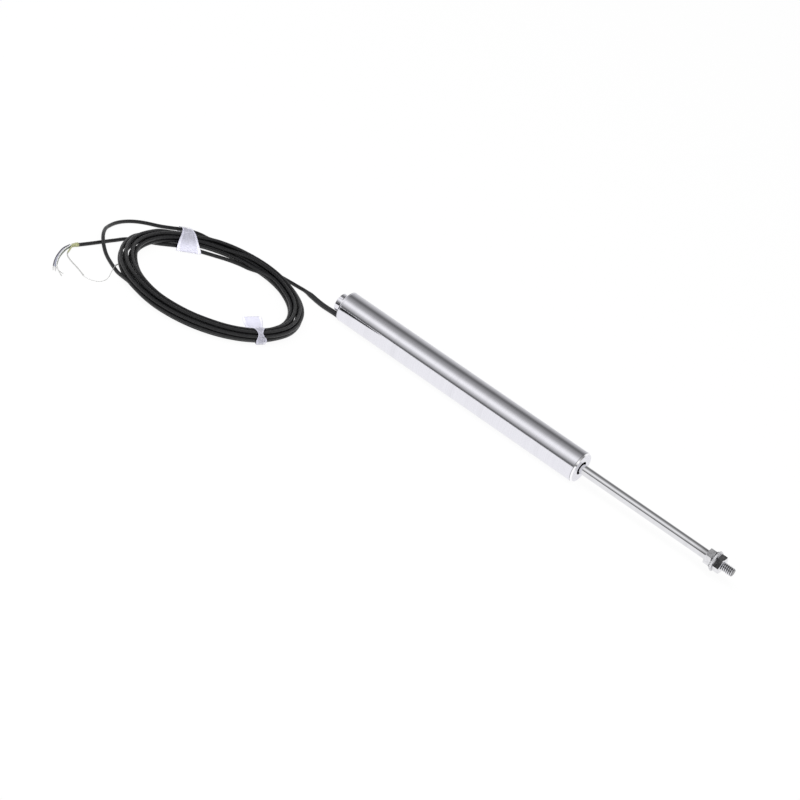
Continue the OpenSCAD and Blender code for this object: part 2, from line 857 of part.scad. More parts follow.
module core() {
    edge = 0.3;
    color([0.5, 0.5, 0.52]) turned([
        [stem_d / 2 + stem_gap, core_front],
        [core_d / 2 - edge, core_front],
        [core_d / 2, core_front - edge],
        [core_d / 2, core_rear + edge],
        [core_d / 2 - edge, core_rear],
        [stem_d / 2 + stem_gap, core_rear]
    ]);
}

module core_nut() {
    color([0.75, 0.72, 0.6]) hex_nut(stem_rear, core_nut_h, core_nut_af, stem_d, 0);
}

module jam_nut() {
    color([0.6, 0.6, 0.62])
        hex_nut(shoulder, jam_nut_h, nut_af, thread_core_d + 2 * thread_gap, jam_nut_turn);
}

// Lock washer with teeth round its outside, cut on the slant
module lock_washer() {
    gap_w = PI * lock_d / lock_teeth / 4;
    slant = 25;
    root_d = (lock_d + washer_bore_d) / 2;
    color([0.7, 0.7, 0.72]) difference() {
        ring(washer_rear, lock_rear, lock_d, washer_bore_d);
        for (i = [0 : lock_teeth - 1])
            rotate([360 * i / lock_teeth, 0, 0]) translate([(washer_rear + lock_rear) / 2, 0, root_d / 2])
                rotate([0, 0, slant]) translate([-lock_h * 2, -gap_w / 2, 0])
                    cube([lock_h * 4, gap_w, lock_d]);
    }
}

module flat_washer() {
    edge = 0.25;
    color([0.82, 0.82, 0.83]) turned([
        [washer_bore_d / 2, washer_rear],
        [washer_d / 2 - edge, washer_rear],
        [washer_d / 2, washer_rear + edge],
        [washer_d / 2, end_nut_rear - edge],
        [washer_d / 2 - edge, end_nut_rear],
        [washer_bore_d / 2, end_nut_rear]
    ]);
}

module end_nut() {
    color([0.5, 0.5, 0.53])
        hex_nut(end_nut_rear, end_nut_h, nut_af, thread_core_d + 2 * thread_gap, end_nut_turn);
}

body_tube();
front_cap();
front_seal();
wiper_seal();
front_bush();
bush_ring();
coil_former();
primary_winding();
secondary_front();
secondary_rear();
winding_tape();
magnetic_shield();
spacer();
circuit_board();
board_chips();
rear_cap();
rear_plug();
cable_crimp();
cable_sleeve();
cable_lead();
cable_coil();
cable_loop();
cable_tail();
tie_upper();
tie_lower();
end_sleeve();
wire_violet();
wire_blue();
wire_white();
wire_green();
screen_end();
screen_strand();
core_guide();
push_rod();
core();
core_nut();
jam_nut();
lock_washer();
flat_washer();
end_nut();
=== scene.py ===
import math

import bpy
from bpy.props import FloatProperty, FloatVectorProperty, PointerProperty
from mathutils import Matrix, Vector


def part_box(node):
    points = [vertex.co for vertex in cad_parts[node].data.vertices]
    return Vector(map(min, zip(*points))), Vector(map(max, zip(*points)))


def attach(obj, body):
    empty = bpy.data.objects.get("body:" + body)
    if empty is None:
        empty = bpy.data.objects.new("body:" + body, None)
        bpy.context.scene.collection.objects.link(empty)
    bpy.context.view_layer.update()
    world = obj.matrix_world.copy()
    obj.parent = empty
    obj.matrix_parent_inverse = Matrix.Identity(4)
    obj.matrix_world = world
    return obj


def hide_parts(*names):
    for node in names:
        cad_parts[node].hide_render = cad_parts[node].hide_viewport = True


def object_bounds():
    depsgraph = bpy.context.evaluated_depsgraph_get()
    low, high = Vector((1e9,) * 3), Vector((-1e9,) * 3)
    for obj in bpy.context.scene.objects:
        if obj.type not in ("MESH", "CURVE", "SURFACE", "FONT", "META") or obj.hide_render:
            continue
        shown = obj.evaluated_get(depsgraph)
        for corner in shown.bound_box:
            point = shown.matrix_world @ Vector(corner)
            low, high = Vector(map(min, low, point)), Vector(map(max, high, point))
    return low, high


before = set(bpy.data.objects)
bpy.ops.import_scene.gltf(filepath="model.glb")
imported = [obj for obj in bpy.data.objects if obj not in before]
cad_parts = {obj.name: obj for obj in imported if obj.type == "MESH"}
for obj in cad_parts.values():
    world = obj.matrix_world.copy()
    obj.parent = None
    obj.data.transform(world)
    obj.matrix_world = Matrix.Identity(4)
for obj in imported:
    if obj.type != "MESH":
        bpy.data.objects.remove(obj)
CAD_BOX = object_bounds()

bl_info = {
    "name": "LVDT Displacement Sensor",
    "version": (1, 0, 0),
    "blender": (4, 5, 0),
    "location": "View3D > Sidebar > Sensor",
    "description": "Dresses the displacement sensor: cable, ties, threaded rod and finishes",
    "category": "Add Mesh",
}

MM = 0.001
# Vertices nearer to each other than this are merged, and places nearer than the next count as the same.
SEAM = 0.000002
SAME_PLACE = 1e-6

# Stations along the body axis, read from the solids.
REAR_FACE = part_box("rear_cap")[0].x
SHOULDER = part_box("jam_nut")[0].x
LOCK_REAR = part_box("lock_washer")[0].x
NUT_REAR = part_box("end_nut")[0].x
NUT_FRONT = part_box("end_nut")[1].x
THREAD_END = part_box("push_rod")[1].x
CORE_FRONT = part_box("core")[1].x
STEM_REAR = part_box("push_rod")[0].x
FLOOR_Z = CAD_BOX[0].z
# Front cap: the joint behind its flange, where its chamfer begins, and its bore, darkened with painted shade.
JOINT_WIDTH = 0.00024
FRONT_CHAMFER = 0.00085
CHAMFER_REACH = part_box("front_cap")[1].y - FRONT_CHAMFER
BORE_SHADE_REACH = 0.00455
# Rod: its broken edge, the play under the thread, and how far below its crests the thread's painted highlight is
# full.
ROD_EDGE, ROD_PLAY, CREST_HIGHLIGHT_DEPTH = 0.3 * MM, 0.00005, 0.00015
# Thread: share of the pitch and of the depth over one turn, turns hidden in the nut, steps of a turn, smooth angle.
THREAD_TOOTH = (
    (0, 0), (0.2, 0), (0.27, 0.06), (0.5, 0.9), (0.54, 1.0), (0.64, 1.0), (0.68, 0.9), (0.93, 0.06), (1.0, 0),
)
THREAD_HIDDEN, THREAD_STEPS, THREAD_SMOOTH = 2.4, 64, 35

# Cable: its coil, and the free ends on either side of it, in millimetres.
COIL_X, COIL_Y, COIL_R = -245.6, -67.6, 55.5
COIL_LIFT = 0.45
CABLE_Z = -9.1
# Angles at which the turns begin and end, and the step between the route's points on them.
COIL_START, COIL_END, COIL_STEP = 248.0, 91.3, 5.0
# Spacing of the rings along the cable, boot, end sleeve, wires, screen and strand.
CABLE_STEP, BOOT_STEP, SLEEVE_STEP, WIRE_STEP, SCREEN_STEP, STRAND_STEP = (
    step * MM for step in (1.6, 0.5, 0.15, 0.35, 0.3, 0.4)
)
# Boot: how far it reaches into the rear cap, its wall at the thin end, and the shares where it narrows.
BOOT_INSET, BOOT_WALL, BOOT_NARROWS = 0.0008, 0.00006, (0.82, 0.98)
# End sleeve: its radius on the jacket, the step down to the wires, its lip, and the shares where both are.
SLEEVE_R, SLEEVE_DROP, SLEEVE_LIP = 1.42, 0.22, 0.25
DROP_SHARES, LIP_SHARES = (0.25, 0.45), (0.85, 1.0)
# Screen: the length of its yellow sheath, and its thickness past it.
SCREEN_SHEATH, SCREEN_SLIM = 8.5 * MM, 0.8
# Strand: its radius as a share of its size, what its frayed tip adds, and the shares where that is.
STRAND_R, STRAND_TIP, TIP_SHARES = 0.4, 0.75, (0.84, 0.9)
# Where each turn sits in the bundle's section: degrees round its rim from the outer side, or a place inside it.
STRAND_SEATS = (-22.5, -67.5, -112.5, (-0.34, 0.0), (0.34, 0.0), 22.5, 67.5, 112.5, 157.5, 202.5)
# Stretches of each turn, in degrees, over which the cable moves on to the next seat.
SEAT_CHANGES = (
    (230, 254), (210, 236), (190, 216), (176, 200), (166, 190), (156, 180), (118, 142), (96, 122), (74, 100),
)
# Bundle round the coil: angle, shift outwards, half width, half height.
BUNDLE = (
    (0, 1.2, 3.6, 3.2), (30, -0.4, 4.1, 3.2), (60, -1.0, 4.1, 3.1), (90, -0.6, 3.5, 3.2),
    (120, -0.6, 3.0, 3.2), (147.5, 0.0, 3.2, 3.2), (170, 0.5, 3.8, 3.4), (195, 0.6, 4.5, 3.4),
    (225, -0.2, 5.2, 3.5), (250, 0.3, 5.0, 3.6), (275, 1.1, 4.5, 3.4), (300, 1.5, 4.0, 3.4),
    (325, 1.6, 3.6, 3.2), (342.5, 1.6, 3.5, 3.1), (360, 1.2, 3.6, 3.2),
)
LEAD = (
    (-186, -3.587, -7.039), (-192.8, -3.587, -7.039), (-196, -3.2, -7.4), (-202, -2.2, -8.05),
    (-208, -0.8, -8.45), (-214, 0.6, -8.55), (-220, 1.2, -8.55), (-226, 0.4, CABLE_Z + 0.5),
    (-232, -2.4, CABLE_Z + 1.4), (-238, -6.2, CABLE_Z + 2.6), (-243.5, -9.2, CABLE_Z + 3.4),
)
TOP_STRAND = ((98, 59.7, -4.4), (107, 59.6, -4.1), (116, 59.4, -3.9), (125, 59.2, -3.9))
LOOP = (
    (-285, -23.6, CABLE_Z + 5), (-290, -26, CABLE_Z + 5.4), (-295, -28.8, CABLE_Z + 5.2),
    (-300.4, -32.2, CABLE_Z + 4.4), (-306.4, -36, CABLE_Z + 2.6), (-313, -40, CABLE_Z + 0.8),
    (-320, -46, CABLE_Z), (-325, -56, CABLE_Z), (-326.6, -67, CABLE_Z), (-324.6, -78, CABLE_Z + 0.6),
    (-320.6, -87, CABLE_Z + 2.2), (-315, -95.5, CABLE_Z + 2.8), (-308.6, -102, CABLE_Z + 1.8),
    (-300.6, -108, CABLE_Z + 0.4), (-292, -113, CABLE_Z), (-283, -117.4, CABLE_Z),
)
TAIL = (
    (-255, -17, CABLE_Z), (-264, -21, CABLE_Z), (-273, -28, CABLE_Z), (-281, -36, CABLE_Z + 0.45),
    (-287.3, -41, CABLE_Z + 0.45), (-298.3, -58.7, CABLE_Z), (-309.2, -76.4, CABLE_Z), (-311, -87, CABLE_Z),
    (-312.4, -97.8, CABLE_Z), (-313.8, -109, CABLE_Z), (-315.4, -120.2, CABLE_Z),
)
SLEEVE = (
    (-315.2, -119, CABLE_Z + 0.22), (-315.4, -120.2, CABLE_Z + 0.22), (-315.7, -122.2, CABLE_Z + 0.1),
    (-315.9, -124.2, CABLE_Z),
)
WIRE_Z, SCREEN_Z, STRAND_Z = -9.9, -9.8, -10.1
CONDUCTORS = {
    "wire_violet": (
        (-316.9, -124.4, CABLE_Z + 0.2), (-316.6, -130.1, WIRE_Z + 0.15), (-314.2, -136.6, WIRE_Z),
        (-311.2, -142.8, WIRE_Z), (-307.6, -148.9, WIRE_Z), (-303.8, -154.2, WIRE_Z),
        (-301.5, -157.2, WIRE_Z), (-299.7, -159.2, WIRE_Z),
    ),
    "wire_blue": (
        (-316.4, -124.4, WIRE_Z + 0.2), (-315.7, -129.8, WIRE_Z), (-313.3, -136.2, WIRE_Z),
        (-310.4, -142.4, WIRE_Z), (-306.8, -148.4, WIRE_Z), (-303, -153.6, WIRE_Z),
        (-300.4, -156.5, WIRE_Z), (-298.4, -158.3, WIRE_Z),
    ),
    "wire_white": (
        (-316, -124.5, CABLE_Z + 0.7), (-315.2, -129.7, WIRE_Z + 0.78), (-312.9, -136, WIRE_Z + 0.78),
        (-310, -142.2, WIRE_Z + 0.78), (-306.4, -148.1, WIRE_Z + 0.78), (-302.6, -153.3, WIRE_Z + 0.78),
        (-299.9, -155.9, WIRE_Z + 0.86), (-297.3, -157.2, WIRE_Z + 0.8), (-294.7, -158.3, WIRE_Z + 0.2),
        (-292.6, -159, WIRE_Z),
    ),
    "wire_green": (
        (-315.5, -124.6, WIRE_Z + 0.2), (-314.8, -129.5, WIRE_Z), (-312.4, -135.8, WIRE_Z),
        (-309.6, -142, WIRE_Z), (-306, -147.9, WIRE_Z), (-302.2, -153, WIRE_Z), (-299.2, -155.2, WIRE_Z),
        (-296.4, -156.2, WIRE_Z), (-294.2, -155.7, WIRE_Z),
    ),
}
SCREEN = (
    (-315.1, -124.8, CABLE_Z + 0.2), (-313.2, -128.6, SCREEN_Z + 0.2), (-311.1, -132.8, SCREEN_Z),
    (-308.3, -135.8, SCREEN_Z), (-303.3, -138.2, SCREEN_Z), (-296, -140.5, SCREEN_Z),
    (-288, -143.6, SCREEN_Z),
)
STRAND = (
    (-287.7, -143.7, STRAND_Z), (-283.4, -142.6, STRAND_Z), (-279.8, -139, STRAND_Z),
    (-279.2, -133.4, STRAND_Z), (-281, -127.4, STRAND_Z), (-284, -121.4, STRAND_Z + 1.6),
    (-286.2, -116.6, STRAND_Z + 2.6), (-288, -111.6, STRAND_Z + 2),
)

# Film ties: angle on the coil, whether the film closes, and places outwards and upwards, width and sideways shift.
FILM_TIES = {
    "upper_film_tie": (147.5, True, (
        (11.2, 0.4, 5.4, 0.2), (10.8, 1.9, 5.4, 0.2), (9.4, 2.9, 5.6, 0.2), (6.4, 4.4, 6.2, 0.1),
        (3.0, 5.4, 7.0, 0), (0.0, 5.3, 8.4, -0.2), (-2.6, 4.4, 10.2, -0.4), (-4.8, 2.6, 12.2, -0.6),
        (-6.8, 0.7, 14.0, -0.8), (-8.8, -0.8, 15.6, -0.9), (-10.8, -2.2, 16.8, -0.9), (-12.0, -3.8, 17.4, -0.8),
        (-10.4, -4.6, 16.4, -0.8), (-5.0, -4.6, 13.0, -0.5), (0.0, -4.6, 9.0, 0), (4.6, -4.5, 7.0, 0),
        (8.4, -3.2, 6.2, 0.1), (10.6, -1.2, 5.8, 0.2),
    )),
    "lower_film_tie": (342.5, True, (
        (4.7, 0.0, 8.2, 2.9), (4.4, 1.8, 5.2, 3.6), (3.5, 3.4, 3.4, 4.2), (2.0, 4.4, 4.4, 4.0),
        (0.6, 4.7, 6.4, 3.4), (-0.8, 4.7, 8.2, 2.7), (-2.2, 4.3, 9.4, 1.9), (-3.4, 3.5, 9.8, 1.2),
        (-4.4, 1.8, 9.4, 0.6), (-4.6, 0.0, 8.4, 0.5), (-4.3, -1.8, 7.6, 0.5), (-3.3, -3.3, 7.0, 0.5),
        (0.0, -3.95, 6.5, 1.0), (3.8, -3.9, 6.0, 2.3), (5.4, -3.4, 6.0, 3.1), (5.1, -1.6, 8.4, 2.8),
    )),
    "lower_film_tab": (342.5, False, (
        (-4.4, -2.4, 6.5, 0), (-5.4, -2.2, 8.0, 0), (-7.2, -0.8, 11.5, 0), (-9.6, 1.2, 14.5, 0),
        (-12.0, 3.0, 15.5, 0), (-14.4, 4.3, 15.0, 0),
    )),
}
FILM_STATIONS = 8
CREASE_SIZE, CREASE_DEPTH = 0.004, 0.2 * MM
# Distances from the coil's middle between which the film turns from white to clear.
FILM_WHITENS = (0.0455, 0.0525)

# Studio round the part: brightness by the angle about the body axis, 0 in front, 90 overhead, 180 behind.
STUDIO_BANDS = (
    (-180, 0.88), (-12, 0.9), (-6, 0.74), (-1, 0.42), (5, 0.19), (10, 0.12), (14, 0.19), (19, 0.38),
    (27, 0.56), (35, 0.74), (43, 0.95), (50, 1.07), (58, 1.06), (66, 0.96), (74, 0.76), (83, 0.54),
    (91, 0.41), (100, 0.34), (108, 0.27), (116, 0.19), (123, 0.15), (129, 0.17), (138, 0.3),
    (147, 0.43), (156, 0.52), (172, 0.66), (180, 0.74),
)
# The bands slant: they rise by this many degrees for each unit of the direction along the body, up to a limit.
BAND_SLANT, BAND_MIDDLE, LOW_LIMIT, HIGH_LIMIT = 148.0, -0.30, 4.0, 15.0
# A dark card overhead: its edges along the body, its edges round it in degrees, and how much it takes away.
CARD_ALONG = (-0.2605, -0.257, -0.1, -0.04)
CARD_ROUND = (-4, 4, 126, 142)
CARD_DEPTH = 0.74
# A white card off the front end: its edges along the body and its brightness.
FRONT_CARD = (0.05, 0.3, 0.55, 0.75)
FRONT_WHITE = 0.95
# The slant's higher limit sets in between these degrees round the body.
SLANT_RISE = (20, 70)
# Soft lamps: place, power and size. They aim at the body.
LAMPS = (((0.5, -1.2, 1.9), 26.0, 1.4), ((-0.9, -0.5, 1.8), 12.0, 1.2))
LAMP_AIM = (-0.1, 0, 0)
# Floor: its size, how far it lies below the part, and the share of white that rays from the camera see.
FLOOR_SIZE, FLOOR_DROP, FLOOR_GLOW = 12.0, 0.00002, 0.94

# Camera of the photograph.
CAMERA_PLACE = (0.5282, -1.4348, 0.7466)
CAMERA_RIGHT = (0.7601, 0.5422, 0.3581)
CAMERA_UP = (-0.5322, 0.2034, 0.8218)
CAMERA_BACK = (0.3727, -0.8153, 0.4431)
CAMERA_LENS, CAMERA_SENSOR, CAMERA_NEAR = 126.0, 36.0, 0.01
# Size of the handling marks on plain metal.
METAL_GRAIN = 420.0


def colour(name, text, value):
    return FloatVectorProperty(name=name, description=text, default=value, subtype="COLOR", size=3, min=0, max=1)


def length(name, text, value):
    return FloatProperty(name=name, description=text, default=value, unit="LENGTH", subtype="DISTANCE", min=0)


class CableSizes(bpy.types.PropertyGroup):
    jacket: length("Jacket", "Diameter of the cable's jacket", 2.4 * MM)
    boot: length("Boot", "Diameter of the shrunk sleeve at the rear cap", 3.5 * MM)
    boot_end: length("Boot end", "Station where the shrunk sleeve ends", -0.220)
    wire: length("Wire", "Diameter of a conductor over its insulation", 0.8 * MM)
    tinned: length("Tinned core", "Diameter of a conductor's tinned end", 0.5 * MM)
    tinned_end: length("Tinned end", "Length of a conductor's tinned end", 5.5 * MM)
    screen: length("Screen", "Diameter of the twisted screen", 1.0 * MM)
    strand: length("Strand", "Diameter of the single screen strand", 0.4 * MM)
    film: length("Film", "Thickness of the film ties", 0.1 * MM)


class RodSizes(bpy.types.PropertyGroup):
    rod: length("Rod", "Diameter of the push rod", 6.35 * MM)
    thread: length("Thread", "Outer diameter of the thread", 6.0 * MM)
    root: length("Thread root", "Diameter at the thread's root", 4.7 * MM)
    pitch: length("Pitch", "Pitch of the thread", 1.27 * MM)
    chamfer: length("Chamfer", "Chamfer at the thread's end", 0.8 * MM)
    grip: length("Grip", "Diameter of the core of the thread inside the nuts", 5.0 * MM)
    stem: length("Stem", "Diameter of the stem that carries the core", 3.2 * MM)


class FinishColours(bpy.types.PropertyGroup):
    steel: colour("Body steel", "Turned stainless steel of the body", (0.82, 0.815, 0.87))
    rod_steel: colour("Rod steel", "Ground steel of the push rod", (0.76, 0.76, 0.785))
    nut_steel: colour("Nut steel", "Plain steel of the nuts", (0.8, 0.8, 0.825))
    jacket: colour("Jacket", "Black jacket of the cable", (0.005, 0.005, 0.006))
    film: colour("Film", "Clear film of the ties", (0.72, 0.715, 0.83))
    yellow: colour("Yellow sleeve", "Yellow-green sleeve on the screen", (0.38, 0.39, 0.21))


def shade(base, factor):
    return tuple(min(1.0, c * factor) for c in base)


class Kit:
    """Short hand for building a node tree."""

    def __init__(self, tree):
        self.tree = tree

    def link(self, a, b):
        self.tree.links.new(a, b)

    def feed(self, socket, value):
        """Links the socket to another one, or sets its value."""
        if isinstance(value, bpy.types.NodeSocket):
            self.link(value, socket)
        else:
            socket.default_value = value

    def node(self, kind, **settings):
        """A new node, with its inputs and other settings by name."""
        made = self.tree.nodes.new(kind)
        for key, value in settings.items():
            if key in made.inputs:
                self.feed(made.inputs[key], value)
            else:
                setattr(made, key, value)
        return made

    def maths(self, operation, a, b=0.0):
        made = self.node("ShaderNodeMath", operation=operation)
        for socket, value in zip(made.inputs, (a, b)):
            self.feed(socket, value)
        return made.outputs[0]

    def line(self, value, slope, start):
        """The start, plus the slope for each unit of the value."""
        return self.maths("ADD", self.maths("MULTIPLY", value, slope), start)

    def split(self, vector):
        """The three parts of a vector."""
        return self.node("ShaderNodeSeparateXYZ", Vector=vector).outputs

    def rise(self, value, low, high):
        """0 up to low, 1 from high on, smooth in between."""
        edges = {"From Min": low, "From Max": high}
        return self.node("ShaderNodeMapRange", interpolation_type="SMOOTHSTEP", Value=value, **edges).outputs[0]

    def within(self, value, edges):
        """1 between two soft edges, 0 outside them."""
        return self.maths("SUBTRACT", self.rise(value, *edges[:2]), self.rise(value, *edges[2:]))

    def ramp(self, factor, *stops):
        made = self.node("ShaderNodeValToRGB", Fac=factor)
        marks = made.color_ramp.elements
        for _ in range(len(stops) - 2):
            marks.new(0.5)
        for mark, (place, level) in zip(marks, stops):
            mark.position = place
            mark.color = (level, level, level, 1)
        return made.outputs[0]

    def mix(self, factor, a, b):
        made = self.node("ShaderNodeMix", data_type="RGBA")
        self.feed(made.inputs[0], factor)
        for socket, value in zip((made.inputs[6], made.inputs[7]), (a, b)):
            self.feed(socket, (*value, 1) if isinstance(value, tuple) else value)
        return made.outputs[2]

    def stain(self, tone, mask, amount, colour):
        """Mixes a share of the colour into the tone where the mask is white."""
        return self.mix(self.maths("MULTIPLY", mask, amount), tone, colour)

    def seen_by(self, *kinds):
        """1 for rays of these kinds."""
        paths = self.node("ShaderNodeLightPath").outputs
        seen = paths[kinds[0]]
        for kind in kinds[1:]:
            seen = self.maths("MAXIMUM", seen, paths[kind])
        return seen

    def blend(self, factor, first, second, output):
        """Mixes two shaders into the tree's output."""
        made = self.node("ShaderNodeMixShader")
        for value, socket in zip((factor, first.outputs[0], second.outputs[0]), made.inputs):
            self.link(value, socket)
        self.node(output, Surface=made.outputs[0])

    def group(self, make, **inputs):
        """A node of the group that the function makes on its first use."""
        tree = bpy.data.node_groups.get(make.__name__) or make()
        return self.node("ShaderNodeGroup", node_tree=tree, **inputs).outputs


class Finish(Kit):
    """Kit for a new material, with its shader's inputs and its coordinates."""

    def __init__(self, name):
        self.material = bpy.data.materials.new(name + "_finish")
        self.material.use_nodes = True
        super().__init__(self.material.node_tree)
        self.shader = self.tree.nodes["Principled BSDF"].inputs
        self.place = self.node("ShaderNodeTexCoord").outputs

    def hands(self, size):
        return self.group(handling_marks, Place=self.place["Object"], Size=size)

    def from_axis(self):
        """Station along the body axis and distance from it."""
        station, y, z = self.split(self.place["Object"])
        flat = self.node("ShaderNodeCombineXYZ", Y=y, Z=z)
        reach = self.node("ShaderNodeVectorMath", operation="LENGTH", Vector=flat.outputs[0])
        return station, reach.outputs["Value"]

    def darken_joint(self, station, tone, base):
        """The tone with a dark line where the tube meets its front cap."""
        near = self.maths("LESS_THAN", self.maths("ABSOLUTE", station), JOINT_WIDTH / 2)
        return self.mix(near, tone, shade(base, 0.3))

    def paint(self, tone, rough, metal=0.0):
        for key, value in (("Base Color", tone), ("Roughness", rough), ("Metallic", metal)):
            self.feed(self.shader[key], value)

    def bump(self, height, strength, distance):
        made = self.node("ShaderNodeBump", Strength=strength, Distance=distance, Height=height)
        self.link(made.outputs[0], self.shader["Normal"])


def new_group(name, place, sizes, outputs):
    """A node group with a vector and some sizes as inputs, and what it gives out."""
    tree = bpy.data.node_groups.new(name, "ShaderNodeTree")
    tree.interface.new_socket(place, in_out="INPUT", socket_type="NodeSocketVector")
    for label in sizes:
        tree.interface.new_socket(label, in_out="INPUT", socket_type="NodeSocketFloat")
    for label in outputs:
        tree.interface.new_socket(label, in_out="OUTPUT", socket_type="NodeSocketFloat")
    kit = Kit(tree)
    return tree, kit, kit.node("NodeGroupInput").outputs, kit.node("NodeGroupOutput").inputs


def turning_marks():
    """Fine rings round the body axis, left by the lathe tool, with a few deeper ones among them."""
    tree, kit, given, result = new_group("turning_marks", "Place", ("Rings",), ("Marks", "Deep"))
    along = kit.maths("MULTIPLY", kit.split(given["Place"])[0], given["Rings"])
    fine = kit.node("ShaderNodeTexNoise", noise_dimensions="1D", Scale=1.0, Detail=3.0, Roughness=0.7, W=along)
    coarse = kit.node("ShaderNodeTexNoise", noise_dimensions="1D", Scale=0.11, Detail=2.0, W=along)
    kit.link(fine.outputs[0], result["Marks"])
    kit.link(kit.ramp(coarse.outputs[0], (0.5, 0.0), (0.75, 1.0)), result["Deep"])
    return tree


def handling_marks():
    """Soft smudges and small rubbed spots left by handling."""
    tree, kit, given, result = new_group("handling_marks", "Place", ("Size",), ("Smudge", "Speck"))
    place, size = given["Place"], given["Size"]
    fine = kit.maths("MULTIPLY", size, 14.0)
    soft = kit.node("ShaderNodeTexNoise", Detail=4.0, Roughness=0.6, Vector=place, Scale=size)
    small = kit.node("ShaderNodeTexNoise", Detail=2.0, Roughness=0.5, Vector=place, Scale=fine)
    kit.link(kit.ramp(soft.outputs[0], (0.4, 0.0), (0.7, 1.0)), result["Smudge"])
    kit.link(kit.ramp(small.outputs[0], (0.55, 0.0), (0.75, 1.0)), result["Speck"])
    return tree


def braid():
    """Two sets of crossing yarns that wind round a cord, from its UV map."""
    tree, kit, given, result = new_group("braid", "Lay", ("Along", "Round"), ("Height", "Yarn Glint"))
    split = kit.split(given["Lay"])
    along = kit.maths("MULTIPLY", split[0], given["Along"])
    across = kit.maths("MULTIPLY", split[1], given["Round"])
    waves = [
        kit.maths("SINE", kit.maths("MULTIPLY", kit.maths(operation, along, across), 2 * math.pi))
        for operation in ("ADD", "SUBTRACT")
    ]
    height = kit.maths("MULTIPLY", *waves)
    kit.link(kit.line(height, 0.5, 0.5), result["Height"])
    kit.link(kit.ramp(kit.maths("ABSOLUTE", height), (0.3, 0.0), (0.9, 1.0)), result["Yarn Glint"])
    return tree


def turned_metal(kit, base, rings, rough, contrast=0.05, marks_depth=0.015, joint=False):
    """Steel off the lathe: rings round the axis, smudges,
    and where asked the dark joint between the tube and its front cap."""
    hands = kit.hands(55.0)
    marks = kit.group(turning_marks, Place=kit.place["Object"], Rings=rings)
    tone = kit.mix(marks["Marks"], shade(base, 1 - contrast), shade(base, 1 + contrast))
    tone = kit.stain(tone, marks["Deep"], 0.25, shade(base, 0.8))
    tone = kit.stain(tone, hands["Smudge"], 0.18, shade(base, 0.9))
    if joint:
        tone = kit.darken_joint(kit.split(kit.place["Object"])[0], tone, base)
    dull = kit.line(marks["Marks"], 0.05, rough - 0.025)
    kit.paint(tone, kit.maths("ADD", dull, kit.maths("MULTIPLY", hands["Smudge"], 0.02)), 1.0)
    kit.bump(marks["Marks"], marks_depth, 0.00002)


def threaded_metal(kit, base, root, crest):
    """Cut thread: painted shade darkens its roots and a painted highlight lightens its crests."""
    hands = kit.hands(METAL_GRAIN)
    # Painted shade in the roots and painted highlight on the crests, set by the distance from the axis.
    tone = kit.mix(kit.rise(kit.from_axis()[1], root, crest), shade(base, 0.2), shade(base, 1.25))
    tone = kit.stain(tone, hands["Smudge"], 0.3, shade(base, 0.5))
    kit.paint(tone, kit.line(hands["Speck"], 0.1, 0.16), 1.0)


def cap_metal(kit, base):
    """Front cap: a faced end with rings round its middle, a chamfer with real polish lightened by a painted
    highlight, a bore darkened with painted shade, and the joint behind.
    """
    station, reach = kit.from_axis()
    rings = kit.node("ShaderNodeTexNoise", noise_dimensions="1D", Scale=2400.0, Detail=2.0, W=reach).outputs[0]
    rim = kit.maths("GREATER_THAN", reach, CHAMFER_REACH)
    polish_and_highlight = kit.maths("MULTIPLY", rim, kit.maths("GREATER_THAN", station, JOINT_WIDTH))
    tone = kit.mix(rings, shade(base, 0.84), shade(base, 1.02))
    # Painted highlight: the chamfer is lighter. Its lower roughness is real polish.
    tone = kit.mix(polish_and_highlight, tone, shade(base, 1.2))
    # Painted shade: the bore round the rod is darkened.
    tone = kit.mix(kit.maths("LESS_THAN", reach, BORE_SHADE_REACH), tone, shade(base, 0.1))
    kit.paint(kit.darken_joint(station, tone, base), kit.line(polish_and_highlight, -0.12, 0.2), 1.0)
    kit.bump(rings, 0.02, 0.00002)


def plain_metal(kit, base, rough, metal=1.0):
    """Steel or alloy with a fine grain and rubbed spots."""
    hands = kit.hands(METAL_GRAIN)
    tone = kit.mix(hands["Smudge"], shade(base, 0.86), shade(base, 1.1))
    tone = kit.stain(tone, hands["Speck"], 0.4, shade(base, 0.7))
    kit.paint(tone, kit.line(hands["Smudge"], 0.1, rough - 0.05), metal)
    kit.bump(hands["Speck"], 0.15, 0.000004)


def moulded(kit, base, rough, grain=900.0):
    """Plastic, rubber or lacquer with a fine moulded grain."""
    hands = kit.hands(grain)
    tone = kit.mix(hands["Smudge"], shade(base, 0.86), shade(base, 1.08))
    kit.paint(tone, kit.line(hands["Speck"], 0.15, rough - 0.05))
    kit.bump(hands["Speck"], 0.12, 0.00003)


def braided_jacket(kit, base):
    """Black jacket with a fine braid whose crossings and small specks are lighter: a painted glint."""
    hands = kit.hands(160.0)
    yarn = kit.group(braid, Lay=kit.place["UV"], Along=420.0, Round=6.0)
    # Painted glint: the yarn crossings are lighter.
    tone = kit.mix(yarn["Yarn Glint"], shade(base, 0.3), shade(base, 2.0))
    # Painted glint: small bright specks.
    tone = kit.stain(tone, hands["Speck"], 0.6, shade(base, 6.0))
    kit.paint(tone, kit.line(hands["Speck"], -0.14, 0.36))
    kit.shader["Specular IOR Level"].default_value = 0.42
    kit.bump(yarn["Height"], 0.8, 0.00026)


